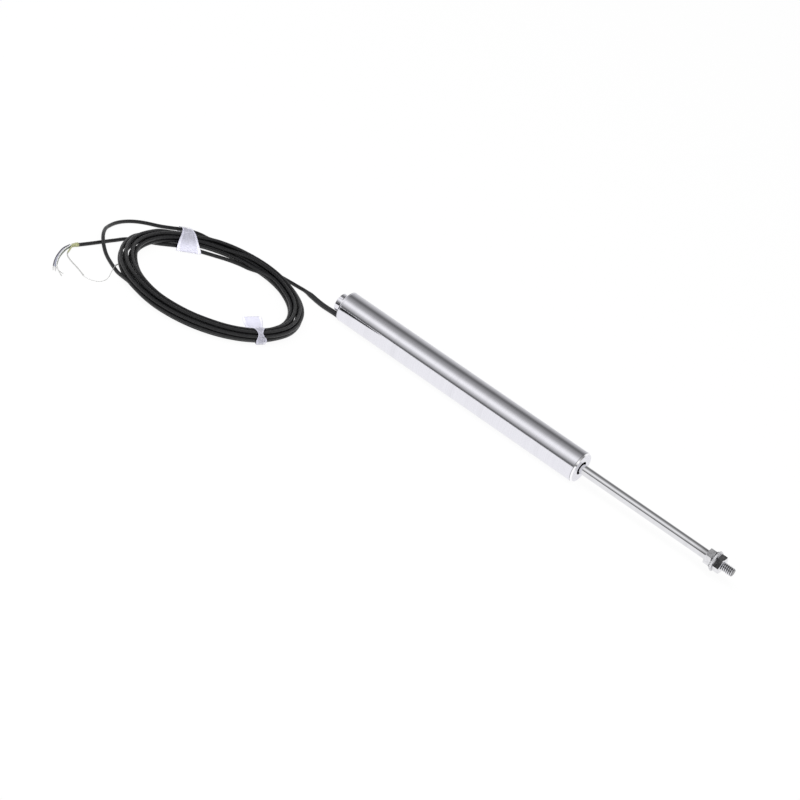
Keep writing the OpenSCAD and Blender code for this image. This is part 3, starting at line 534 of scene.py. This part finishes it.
def ridged(kit, base, turn, hands, dirt, rough, metal, depth):
    """Strands side by side, a ridge for each whole turn: a painted highlight on the crowns and painted shade in the
    gaps.
    """
    level = kit.line(kit.maths("SINE", kit.maths("MULTIPLY", turn, 2 * math.pi)), 0.5, 0.5)
    # Painted light and shade: lighter crowns and darker gaps between the strands.
    tone = kit.mix(level, shade(base, 0.45), shade(base, 1.1))
    tone = kit.stain(tone, hands["Smudge"], 0.3, shade(base, dirt))
    kit.paint(tone, kit.line(hands["Smudge"], 0.12, rough), metal)
    kit.bump(level, depth, 0.0001)


def wound(kit, base, turns, rough=0.32, metal=1.0):
    """Fine wire laid turn by turn round the body axis."""
    turn = kit.maths("MULTIPLY", kit.split(kit.place["Object"])[0], turns)
    ridged(kit, base, turn, kit.hands(150.0), 0.75, rough, metal, 0.5)


def twisted_tin(kit, base, twists):
    """Tinned strands twisted together, from the piece's UV map."""
    lay = kit.split(kit.place["UV"])
    turn = kit.maths("ADD", kit.maths("MULTIPLY", lay[0], twists), kit.maths("MULTIPLY", lay[1], 4.0))
    ridged(kit, base, turn, kit.hands(500.0), 0.8, 0.3, 0.6, 0.6)


def clear_film(kit, base, clear):
    """Thin clear film, softly creased and a little cloudy, whiter where it hangs inside the coil."""
    hands = kit.hands(130.0)
    reach = kit.node("ShaderNodeVectorMath", operation="DISTANCE", Vector=kit.place["Object"])
    reach.inputs[1].default_value = Vector((COIL_X, COIL_Y, 0)) * MM
    inner = kit.maths("SUBTRACT", 1.0, kit.rise(reach.outputs["Value"], *FILM_WHITENS))
    tone = kit.mix(hands["Smudge"], shade(base, 0.95), shade(base, 1.02))
    kit.paint(kit.mix(inner, tone, shade(base, 1.12)), kit.line(hands["Speck"], 0.15, 0.22))
    cover = kit.line(hands["Smudge"], 0.06, 0.89 - clear)
    kit.link(kit.maths("ADD", cover, kit.maths("MULTIPLY", inner, 0.4)), kit.shader["Alpha"])
    kit.bump(hands["Smudge"], 0.1, 0.0003)


def board_lacquer(kit, base):
    """Green board with lighter copper runs under its lacquer."""
    look = {"Color1": (*shade(base, 0.9), 1), "Color2": (*base, 1), "Mortar": (*shade(base, 1.9), 1)}
    gaps = {"Mortar Size": 0.06}
    runs = kit.node("ShaderNodeTexBrick", Scale=260.0, Vector=kit.place["Object"], **look, **gaps).outputs
    kit.paint(runs["Color"], kit.line(runs["Fac"], 0.1, 0.3))
    kit.bump(runs["Fac"], 0.3, 0.00005)


def finish(name):
    """The finish of that name, mixed on first use."""
    made = bpy.data.materials.get(name + "_finish")
    if made:
        return made
    tint = bpy.context.scene.sensor_colours
    rod = bpy.context.scene.sensor_rod
    recipes = {
        "body_steel": (turned_metal, tint.steel, 1200.0, 0.1, 0.09, 0.008, True),
        "cap_steel": (cap_metal, tint.steel),
        "rod_steel": (turned_metal, tint.rod_steel, 1500.0, 0.045, 0.03, 0.004),
        "thread_steel": (threaded_metal, tint.rod_steel, rod.root / 2, rod.thread / 2 - CREST_HIGHLIGHT_DEPTH),
        "nut_steel": (plain_metal, tint.nut_steel, 0.075),
        "washer_steel": (plain_metal, shade(tint.rod_steel, 0.95), 0.3, 0.6),
        "spring_steel": (plain_metal, shade(tint.nut_steel, 0.75), 0.26),
        "seal_rubber": (moulded, (0.016, 0.016, 0.017), 0.55),
        "bush_bronze": (turned_metal, (0.72, 0.5, 0.26), 1800.0, 0.26),
        "former_plastic": (moulded, (0.72, 0.68, 0.58), 0.45),
        "guide_plastic": (moulded, (0.82, 0.82, 0.8), 0.4),
        "winding_copper": (wound, (0.78, 0.36, 0.16), 6000.0),
        "tape_yellow": (wound, (0.8, 0.6, 0.12), 160.0, 0.35, 0.0),
        "shield_alloy": (turned_metal, (0.6, 0.6, 0.6), 1200.0, 0.3),
        "core_alloy": (turned_metal, (0.52, 0.51, 0.5), 1600.0, 0.28),
        "board_green": (board_lacquer, (0.03, 0.2, 0.07)),
        "chip_black": (moulded, (0.02, 0.02, 0.022), 0.4),
        "cable_black": (braided_jacket, tint.jacket),
        "boot_black": (moulded, (0.014, 0.014, 0.016), 0.42, 700.0),
        "tie_film": (clear_film, tint.film, 0.52),
        # Lighter film for the ties' rims: a painted highlight.
        "tie_rim_highlight": (clear_film, shade(tint.film, 1.12), 0.38),
        "sleeve_yellow": (moulded, tint.yellow, 0.35),
        "wire_violet": (moulded, (0.05, 0.045, 0.075), 0.35),
        "wire_blue": (moulded, (0.27, 0.3, 0.45), 0.35),
        "wire_white": (moulded, (0.7, 0.7, 0.7), 0.35),
        "wire_green": (moulded, (0.17, 0.2, 0.16), 0.35),
        "tinned_wire": (twisted_tin, (0.86, 0.86, 0.85), 900.0),
    }
    make, base, *settings = recipes[name]
    kit = Finish(name)
    make(kit, tuple(base), *settings)
    return kit.material


def dress(piece, *names):
    if piece.data.materials:
        piece.data.materials.clear()
    for name in names:
        piece.data.materials.append(finish(name))
    return piece


def start_clean():
    """Object mode with nothing selected."""
    active = bpy.context.view_layer.objects.active
    if active and active.mode != "OBJECT":
        bpy.ops.object.mode_set(mode="OBJECT")
    bpy.ops.object.select_all(action="DESELECT")


def pick(piece, test):
    """Selects the vertices whose place passes the test, in edit mode."""
    bpy.ops.object.mode_set(mode="OBJECT")
    for vertex in piece.data.vertices:
        vertex.select = test(vertex.co)
    for edge in piece.data.edges:
        edge.select = all(piece.data.vertices[i].select for i in edge.vertices)
    for face in piece.data.polygons:
        face.select = all(piece.data.vertices[i].select for i in face.vertices)
    bpy.ops.object.mode_set(mode="EDIT")


def draw_line(name, points):
    """A chain of edges through the points: one vertex, extruded from place to place."""
    start_clean()
    bpy.ops.mesh.primitive_plane_add(size=MM)
    piece = bpy.context.object
    piece.name = piece.data.name = name
    bpy.ops.object.mode_set(mode="EDIT")
    bpy.ops.mesh.select_mode(type="VERT")
    bpy.ops.mesh.select_all(action="SELECT")
    bpy.ops.mesh.merge(type="CENTER")
    bpy.ops.transform.translate(value=points[0])
    for here, there in zip(points, points[1:]):
        bpy.ops.mesh.extrude_vertices_move(TRANSFORM_OT_translate={"value": there - here})
    return piece


def merge_seams():
    bpy.ops.mesh.select_all(action="SELECT")
    bpy.ops.mesh.remove_doubles(threshold=SEAM)


def close_up(smooth):
    """Merges seams, turns the faces outwards, leaves edit mode and smooths edges flatter than the angle."""
    merge_seams()
    bpy.ops.mesh.normals_make_consistent(inside=False)
    bpy.ops.object.mode_set(mode="OBJECT")
    bpy.ops.object.shade_smooth_by_angle(angle=math.radians(smooth))


def turn_on_lathe(name, profile, steps=96, smooth=30):
    """Spins a profile of (station, radius) round the body axis."""
    piece = draw_line(name, [Vector((x, 0, r)) for x, r in profile])
    bpy.ops.mesh.select_all(action="SELECT")
    bpy.ops.mesh.spin(steps=steps, angle=2 * math.pi, center=(0, 0, 0), axis=(1, 0, 0))
    close_up(smooth)
    return piece


def apply_modifiers(piece):
    for modifier in list(piece.modifiers):
        bpy.ops.object.modifier_apply(modifier=modifier.name)


def smooth_step(t, low=0.0, high=1.0):
    """0 up to low, 1 from high on, smooth in between."""
    t = min(1.0, max(0.0, (t - low) / (high - low)))
    return t * t * (3 - 2 * t)


def between(a, b, start, end, t):
    return a * ((end - t) / (end - start)) + b * ((t - start) / (end - start))


def smooth_route(points, step, parts=12):
    """One smooth curve through the points, in metres, cut into even steps."""
    spots = [Vector(p) * MM for p in points]
    spots = [spots[0] * 2 - spots[1]] + spots + [spots[-1] * 2 - spots[-2]]
    fine = []
    for a, b, c, d in zip(spots, spots[1:], spots[2:], spots[3:]):
        t1 = (b - a).length ** 0.5
        t2 = t1 + (c - b).length ** 0.5
        t3 = t2 + (d - c).length ** 0.5
        for i in range(parts):
            t = t1 + (t2 - t1) * i / parts
            bc = between(b, c, t1, t2, t)
            abc = between(between(a, b, 0, t1, t), bc, 0, t2, t)
            bcd = between(bc, between(c, d, t2, t3, t), t1, t3, t)
            fine.append(between(abc, bcd, t1, t2, t))
    fine.append(spots[-2])
    run = [0.0]
    for a, b in zip(fine, fine[1:]):
        run.append(run[-1] + (b - a).length)
    count = max(4, round(run[-1] / step))
    route, k = [], 0
    for i in range(count + 1):
        want = run[-1] * i / count
        while k < len(run) - 2 and run[k + 1] < want:
            k += 1
        part = (want - run[k]) / max(1e-12, run[k + 1] - run[k])
        route.append(fine[k].lerp(fine[k + 1], min(1.0, part)))
    return route


def route_length(route):
    return sum((b - a).length for a, b in zip(route, route[1:]))


def skin_route(name, route, radius, sides, bare_from=None):
    """A closed round tube over a route; its UV map holds the distance run and the turn round it.
    radius is one size, or a function of the share of the route that has been run."""
    measure = radius if callable(radius) else (lambda share: radius)
    total = route_length(route)
    along = (route[1] - route[0]).normalized()
    side = along.orthogonal().normalized()
    corners, distances, run = [], [], 0.0
    for i, spot in enumerate(route):
        ahead = (route[min(i + 1, len(route) - 1)] - route[max(i - 1, 0)]).normalized()
        side = (side - ahead * side.dot(ahead)).normalized()
        other = ahead.cross(side)
        if i:
            run += (spot - route[i - 1]).length
        distances.append(run)
        size = measure(run / total)
        for j in range(sides):
            turn = 2 * math.pi * j / sides
            corners.append(spot + (side * math.cos(turn) + other * math.sin(turn)) * size)
    faces, lays, bare = [], [], []
    for i in range(len(route) - 1):
        for j in range(sides):
            k = (j + 1) % sides
            faces.append((i * sides + j, i * sides + k, (i + 1) * sides + k, (i + 1) * sides + j))
            u0, u1, v0, v1 = distances[i], distances[i + 1], j / sides, (j + 1) / sides
            lays += [(u0, v0), (u0, v1), (u1, v1), (u1, v0)]
            bare.append(1 if bare_from is not None and distances[i] >= bare_from else 0)
    last = (len(route) - 1) * sides
    faces.append(tuple(reversed(range(sides))))
    faces.append(tuple(last + j for j in range(sides)))
    lays += [(0.0, j / sides) for j in range(sides)] + [(run, j / sides) for j in range(sides)]
    bare += [0, 0 if bare_from is None else 1]
    mesh = bpy.data.meshes.new(name)
    mesh.from_pydata([tuple(c) for c in corners], [], faces)
    mesh.polygons.foreach_set("use_smooth", [len(f) == 4 for f in faces])
    mesh.polygons.foreach_set("material_index", bare)
    mesh.uv_layers.new(name="lay").data.foreach_set("uv", [n for pair in lays for n in pair])
    mesh.update()
    piece = bpy.data.objects.new(name, mesh)
    bpy.context.scene.collection.objects.link(piece)
    return piece


def bundle_at(angle):
    """Shift, half width and half height of the bundle at an angle of the coil."""
    angle %= 360
    for a, b in zip(BUNDLE, BUNDLE[1:]):
        if a[0] <= angle <= b[0]:
            t = smooth_step(angle, a[0], b[0])
            return [p + (q - p) * t for p, q in zip(a[1:], b[1:])]
    raise ValueError("angle off the coil")


def seat_at(angle):
    """Place of the strand in the bundle's section, from -1 to 1 outwards and upwards."""
    k, t = 0, 0.0
    for i, (a, b) in enumerate(SEAT_CHANGES):
        start, end = a + 360 * (i + 1), b + 360 * (i + 1)
        if angle >= end:
            k = i + 1
        elif angle > start:
            k, t = i, smooth_step(angle, start, end)
    here = STRAND_SEATS[k]
    there = STRAND_SEATS[min(k + 1, len(STRAND_SEATS) - 1)]

    def spot(seat):
        if isinstance(seat, tuple):
            return seat
        return math.cos(math.radians(seat)), math.sin(math.radians(seat))

    if isinstance(here, tuple) or isinstance(there, tuple) or t == 0.0:
        return [p + (q - p) * t for p, q in zip(spot(here), spot(there))]
    return spot(here + (there - here) * t)


def on_coil(angle, reach, z):
    turn = math.radians(angle)
    return COIL_X + reach * math.cos(turn), COIL_Y + reach * math.sin(turn), z


def bundle_height(jacket, high):
    """Height of the bundle's middle, in millimetres."""
    return FLOOR_Z / MM + COIL_LIFT + jacket / 2 / MM + high


def cable_route(jacket):
    """The whole cable, from inside the rear cap, round the coil, to the cut jacket."""
    points = [*LEAD, *(on_coil(*spot) for spot in TOP_STRAND), *LOOP]
    angle = COIL_START
    while angle <= COIL_END + len(STRAND_SEATS) * 360:
        shift, wide, high = bundle_at(angle)
        out, up = seat_at(angle)
        points.append(on_coil(angle, COIL_R + shift + wide * out, bundle_height(jacket, high) + high * up))
        angle += COIL_STEP
    route = smooth_route(points + list(TAIL), CABLE_STEP)
    for spot in route:
        spot.z = max(spot.z, FLOOR_Z + jacket / 2)
    return route


class SENSOR_OT_set_stage(bpy.types.Operator):
    """Sets the camera, the pale floor and the soft studio light"""

    bl_idname = "sensor.set_stage"
    bl_label = "Set the stage"

    def execute(self, context):
        scene = context.scene
        scene.view_settings.view_transform = "Standard"
        start_clean()
        bpy.ops.object.camera_add()
        camera = context.object
        camera.name = "photo_camera"
        columns = Matrix((CAMERA_RIGHT, CAMERA_UP, CAMERA_BACK)).transposed().to_4x4()
        camera.matrix_world = Matrix.Translation(CAMERA_PLACE) @ columns
        camera.data.lens = CAMERA_LENS
        camera.data.sensor_width = CAMERA_SENSOR
        camera.data.clip_start = CAMERA_NEAR
        scene.camera = camera
        self.light_studio(scene)
        for place, power, size in LAMPS:
            bpy.ops.object.light_add(type="AREA", location=place)
            lamp = context.object
            lamp.name = "soft_lamp"
            lamp.rotation_euler = (Vector(place) - Vector(LAMP_AIM)).to_track_quat("Z", "Y").to_euler()
            lamp.data.energy = power
            lamp.data.size = size
            lamp.visible_glossy = False
        self.lay_floor()
        return {"FINISHED"}

    def light_studio(self, scene):
        world = bpy.data.worlds.new("studio")
        scene.world = world
        world.use_nodes = True
        kit = Kit(world.node_tree)
        world.node_tree.nodes.clear()
        x, y, z = kit.split(kit.node("ShaderNodeTexCoord").outputs["Generated"])
        angle = kit.maths("ARCTAN2", z, kit.maths("MULTIPLY", y, -1.0))
        slant = kit.maths("MULTIPLY", kit.maths("SUBTRACT", x, BAND_MIDDLE), BAND_SLANT)
        low, high = (
            kit.maths("MAXIMUM", kit.maths("MINIMUM", slant, limit), -limit) for limit in (LOW_LIMIT, HIGH_LIMIT)
        )
        round_body = kit.maths("MULTIPLY", angle, 180 / math.pi)
        rest = kit.maths("MULTIPLY", kit.maths("SUBTRACT", high, low), kit.rise(round_body, *SLANT_RISE))
        level = kit.maths("SUBTRACT", round_body, kit.maths("ADD", low, rest))
        bands = kit.ramp(kit.line(level, 1 / 360, 0.5), *[((a + 180) / 360, float(v)) for a, v in STUDIO_BANDS])
        card = kit.maths("MULTIPLY", kit.within(x, CARD_ALONG), kit.within(round_body, CARD_ROUND))
        bands = kit.stain(bands, card, CARD_DEPTH, (0, 0, 0))
        bands = kit.mix(kit.within(x, FRONT_CARD), bands, (FRONT_WHITE,) * 3)
        soft = kit.node("ShaderNodeBackground", Color=bands)
        white = kit.node("ShaderNodeBackground", Color=(1, 1, 1, 1))
        kit.blend(kit.seen_by("Is Camera Ray", "Is Transmission Ray"), soft, white, "ShaderNodeOutputWorld")

    def lay_floor(self):
        start_clean()
        bpy.ops.mesh.primitive_plane_add(size=FLOOR_SIZE, location=(0, 0, FLOOR_Z - FLOOR_DROP))
        floor = bpy.context.object
        floor.name = "floor"
        material = bpy.data.materials.new("pale_floor")
        material.use_nodes = True
        kit = Kit(material.node_tree)
        material.node_tree.nodes.clear()
        coat = kit.node("ShaderNodeBsdfDiffuse", Color=(0.92, 0.92, 0.92, 1))
        glow = kit.node("ShaderNodeEmission", Color=(1, 1, 1, 1), Strength=1.0)
        seen = kit.seen_by("Is Camera Ray", "Is Glossy Ray", "Is Transmission Ray")
        kit.blend(kit.maths("MULTIPLY", seen, FLOOR_GLOW), coat, glow, "ShaderNodeOutputMaterial")
        floor.data.materials.append(material)


class SENSOR_OT_lay_cable(bpy.types.Operator):
    """Lays the cable from the rear cap round its coil to the cut end, with the shrunk boot and the end sleeve"""

    bl_idname = "sensor.lay_cable"
    bl_label = "Lay the cable"

    def execute(self, context):
        sizes = context.scene.sensor_cable
        route = cable_route(sizes.jacket)
        cable = skin_route("signal_cable", route, sizes.jacket / 2, 14)
        dress(cable, "cable_black")
        boot_route = [p for p in smooth_route(LEAD, BOOT_STEP) if REAR_FACE + BOOT_INSET >= p.x >= sizes.boot_end]
        thick, slim = sizes.boot / 2, sizes.jacket / 2 + BOOT_WALL

        def shrink(share):
            return thick + (slim - thick) * smooth_step(share, *BOOT_NARROWS)

        def step_in(share):
            drop, lip = smooth_step(share, *DROP_SHARES), smooth_step(share, *LIP_SHARES)
            return (SLEEVE_R - SLEEVE_DROP * drop - SLEEVE_LIP * lip) * MM

        boot = skin_route("cable_boot", boot_route, shrink, 24)
        dress(boot, "boot_black")
        sleeve = skin_route("end_sleeve_shrunk", smooth_route(SLEEVE, SLEEVE_STEP), step_in, 20)
        dress(sleeve, "sleeve_yellow")
        for piece, slot in ((cable, "cable_black"), (boot, "cable_black"), (sleeve, "sleeve_yellow")):
            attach(piece, "housing")
        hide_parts("cable_lead", "cable_coil", "cable_loop", "cable_tail")
        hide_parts("cable_sleeve")
        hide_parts("end_sleeve")
        return {"FINISHED"}


class SENSOR_OT_lay_conductors(bpy.types.Operator):
    """Lays the loose conductors with their tinned ends, the twisted screen and its single strand"""

    bl_idname = "sensor.lay_conductors"
    bl_label = "Lay the conductors"

    def execute(self, context):
        sizes = context.scene.sensor_cable
        for node, points in CONDUCTORS.items():
            route = smooth_route(points, WIRE_STEP)
            total = route_length(route)
            bare = 1 - sizes.tinned_end / total

            def step_down(share):
                return (sizes.wire if share < bare else sizes.tinned) / 2

            wire = skin_route(node + "_lead", route, step_down, 10, total - sizes.tinned_end)
            self.place(wire, node, route, sizes.wire, (node, "tinned_wire"))
        route = smooth_route(SCREEN, SCREEN_STEP)
        total = route_length(route)

        def twist(share):
            return (sizes.screen if share * total < SCREEN_SHEATH else sizes.screen * SCREEN_SLIM) / 2

        def fray(share):
            return sizes.strand * (STRAND_R + STRAND_TIP * smooth_step(share, *TIP_SHARES))

        screen = skin_route("screen_twist", route, twist, 12, SCREEN_SHEATH)
        self.place(screen, "screen_end", route, sizes.screen, ("sleeve_yellow", "tinned_wire"))
        route = smooth_route(STRAND, STRAND_STEP)
        strand = skin_route("screen_hair", route, fray, 8, 0.0)
        self.place(strand, "screen_strand", route, sizes.strand, ("tinned_wire", "tinned_wire"))
        return {"FINISHED"}

    def place(self, piece, node, route, across, finishes):
        dress(piece, *finishes)
        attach(piece, "housing")
        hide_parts(node)


class SENSOR_OT_wrap_ties(bpy.types.Operator):
    """Wraps the two clear film ties round the coil"""

    bl_idname = "sensor.wrap_ties"
    bl_label = "Wrap the ties"

    def execute(self, context):
        sizes = context.scene.sensor_cable
        made = {name: self.wrap(name, *tie, sizes) for name, tie in FILM_TIES.items()}
        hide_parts("tie_upper")
        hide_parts("tie_lower")
        return {"FINISHED"}

    def wrap(self, name, angle, closed, outline, sizes):
        """A film strip at the bundle: a ribbon 1 mm wide along the outline, stretched to its widths."""
        points = [Vector((0, y, z)) * MM for y, z, _, _ in outline]
        tie = draw_line(name, points + points[:1] if closed else points)
        merge_seams()
        bpy.ops.transform.translate(value=(-0.5 * MM, 0, 0))
        for _ in range(FILM_STATIONS):
            bpy.ops.mesh.extrude_edges_move(TRANSFORM_OT_translate={"value": (MM / FILM_STATIONS, 0, 0)})
        bpy.ops.object.mode_set(mode="OBJECT")
        dress(tie, "tie_film", "tie_rim_highlight")
        # The rims get the lighter film, a painted highlight.
        pick(tie, lambda co: abs(co.x) > (0.49 - 1 / FILM_STATIONS) * MM)
        tie.active_material_index = 1
        bpy.ops.object.material_slot_assign()
        for spot, (_, _, wide, aside) in zip(points, outline):
            pick(tie, lambda co: max(abs(co.y - spot.y), abs(co.z - spot.z)) < SAME_PLACE)
            bpy.ops.transform.resize(value=(wide, 1, 1), center_override=(0, 0, 0))
            bpy.ops.transform.translate(value=(aside * MM, 0, 0))
        close_up(180)
        shift, _, high = bundle_at(angle)
        tie.rotation_euler = (0, 0, math.radians(angle) - math.pi / 2)
        tie.location = Vector(on_coil(angle, COIL_R + shift, bundle_height(sizes.jacket, high))) * MM
        bpy.ops.object.transform_apply(location=True, rotation=True, scale=True)
        rounded = tie.modifiers.new("rounded", "SUBSURF")
        rounded.levels = rounded.render_levels = 2
        creases = tie.modifiers.new("creases", "DISPLACE")
        creases.texture = bpy.data.textures.new(name + "_creases", "CLOUDS")
        creases.texture.noise_scale = CREASE_SIZE
        creases.texture_coords = "GLOBAL"
        creases.strength = CREASE_DEPTH
        wall = tie.modifiers.new("wall", "SOLIDIFY")
        wall.thickness = sizes.film
        apply_modifiers(tie)
        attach(tie, "housing")
        return tie


class SENSOR_OT_turn_rod(bpy.types.Operator):
    """Turns the push rod with its core stem, and cuts the helical thread on its end"""

    bl_idname = "sensor.turn_rod"
    bl_label = "Turn the rod"

    def execute(self, context):
        sizes = context.scene.sensor_rod
        grip, big, stem, outer = sizes.grip / 2, sizes.rod / 2, sizes.stem / 2, sizes.thread / 2
        slim = sizes.root / 2 - ROD_PLAY
        inside, sunk = THREAD_END - sizes.chamfer * 1.6, NUT_FRONT - ROD_EDGE
        rod = turn_on_lathe(
            "push_rod_turned",
            [
                (inside, 0), (inside, slim), (sunk, slim), (sunk, grip), (NUT_REAR, grip), (NUT_REAR, outer),
                (LOCK_REAR, outer), (LOCK_REAR, grip), (SHOULDER, grip), (SHOULDER, big - ROD_EDGE),
                (SHOULDER - ROD_EDGE, big), (CORE_FRONT, big), (CORE_FRONT, stem), (STEM_REAR, stem - ROD_PLAY),
                (STEM_REAR, 0),
            ],
        )
        dress(rod, "rod_steel")
        thread = self.cut_thread(sizes)
        for piece in (rod, thread):
            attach(piece, "plunger")
        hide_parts("push_rod")
        return {"FINISHED"}

    def cut_thread(self, sizes):
        pitch, root, crest = sizes.pitch, sizes.root / 2, sizes.thread / 2
        start = NUT_FRONT - THREAD_HIDDEN * pitch
        profile = [Vector((start + x * pitch, 0, root + (crest - root) * h)) for x, h in THREAD_TOOTH]
        thread = draw_line("rod_thread", profile)
        bpy.ops.object.mode_set(mode="OBJECT")
        helix = thread.modifiers.new("helix", "SCREW")
        helix.axis = "X"
        helix.angle = 2 * math.pi
        helix.screw_offset = pitch
        helix.iterations = math.ceil((THREAD_END - start) / pitch) + 2
        helix.steps = helix.render_steps = THREAD_STEPS
        apply_modifiers(thread)
        bpy.ops.object.mode_set(mode="EDIT")
        for station, side in ((NUT_FRONT - 0.2 * MM, -1), (THREAD_END, 1)):
            merge_seams()
            bpy.ops.mesh.bisect(
                plane_co=(station, 0, 0), plane_no=(side, 0, 0), use_fill=True, clear_outer=True, threshold=1e-7
            )
        close_up(THREAD_SMOOTH)
        wide, past = crest * 1.2, 0.2 * MM
        end = turn_on_lathe(
            "thread_end",
            [
                (NUT_FRONT - MM, 0), (NUT_FRONT - MM, wide), (THREAD_END - sizes.chamfer - crest * 0.2, wide),
                (THREAD_END + past, crest - sizes.chamfer - past), (THREAD_END + past, 0),
            ],
        )
        start_clean()
        bpy.context.view_layer.objects.active = thread
        thread.select_set(True)
        cone = thread.modifiers.new("chamfer", "BOOLEAN")
        cone.operation = "INTERSECT"
        cone.object = end
        apply_modifiers(thread)
        bpy.ops.object.shade_smooth_by_angle(angle=math.radians(THREAD_SMOOTH))
        bpy.data.objects.remove(end)
        dress(thread, "thread_steel")
        return thread


class SENSOR_OT_finish_solids(bpy.types.Operator):
    """Gives every solid of the part its finish"""

    bl_idname = "sensor.finish_solids"
    bl_label = "Finish the solids"

    finishes = {
        "cap_steel": ("front_cap",),
        "body_steel": ("body_tube", "rear_cap", "rear_plug", "cable_crimp"),
        "seal_rubber": ("front_seal", "wiper_seal"),
        "bush_bronze": ("front_bush",),
        "former_plastic": ("coil_former", "spacer"),
        "winding_copper": ("primary_winding", "secondary_front", "secondary_rear"),
        "tape_yellow": ("winding_tape",),
        "shield_alloy": ("magnetic_shield",),
        "board_green": ("circuit_board",),
        "chip_black": ("board_chips",),
        "guide_plastic": ("core_guide",),
        # The bush ring in the bore takes the darker core alloy as painted shade.
        "core_alloy": ("core", "bush_ring"),
        "nut_steel": ("jam_nut", "end_nut", "core_nut"),
        "spring_steel": ("lock_washer",),
        "washer_steel": ("flat_washer",),
        "cable_black": ("cable_sleeve", "cable_lead", "cable_coil", "cable_loop", "cable_tail"),
        "tie_film": ("tie_upper", "tie_lower"),
        "sleeve_yellow": ("end_sleeve",),
        **{wire: (wire,) for wire in CONDUCTORS},
        "tinned_wire": ("screen_end", "screen_strand"),
        "rod_steel": ("push_rod",),
    }

    def execute(self, context):
        done = set()
        for name, nodes in self.finishes.items():
            for node in nodes:
                dress(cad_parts[node], name)
                done.add(node)
        left = set(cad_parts) - done
        if left:
            raise RuntimeError("solids without a finish: " + ", ".join(sorted(left)))
        return {"FINISHED"}


STEPS = (
    SENSOR_OT_set_stage,
    SENSOR_OT_lay_cable,
    SENSOR_OT_lay_conductors,
    SENSOR_OT_wrap_ties,
    SENSOR_OT_turn_rod,
    SENSOR_OT_finish_solids,
)


class SENSOR_PT_panel(bpy.types.Panel):
    """Lists the sensor's sizes, colours and steps"""

    bl_idname = "SENSOR_PT_panel"
    bl_label = "Displacement sensor"
    bl_space_type = "VIEW_3D"
    bl_region_type = "UI"
    bl_category = "Sensor"

    def draw(self, context):
        for group in (context.scene.sensor_cable, context.scene.sensor_rod, context.scene.sensor_colours):
            box = self.layout.box()
            for key in group.__annotations__:
                box.prop(group, key)
        for step in STEPS:
            self.layout.operator(step.bl_idname)


CLASSES = (CableSizes, RodSizes, FinishColours, *STEPS, SENSOR_PT_panel)


def register():
    for made in CLASSES:
        bpy.utils.register_class(made)
    bpy.types.Scene.sensor_cable = PointerProperty(type=CableSizes)
    bpy.types.Scene.sensor_rod = PointerProperty(type=RodSizes)
    bpy.types.Scene.sensor_colours = PointerProperty(type=FinishColours)


def unregister():
    del bpy.types.Scene.sensor_colours
    del bpy.types.Scene.sensor_rod
    del bpy.types.Scene.sensor_cable
    for made in reversed(CLASSES):
        bpy.utils.unregister_class(made)


def main():
    register()
    bpy.ops.sensor.set_stage()
    bpy.ops.sensor.lay_cable()
    bpy.ops.sensor.lay_conductors()
    bpy.ops.sensor.wrap_ties()
    bpy.ops.sensor.turn_rod()
    bpy.ops.sensor.finish_solids()


if __name__ == "__main__":
    main()
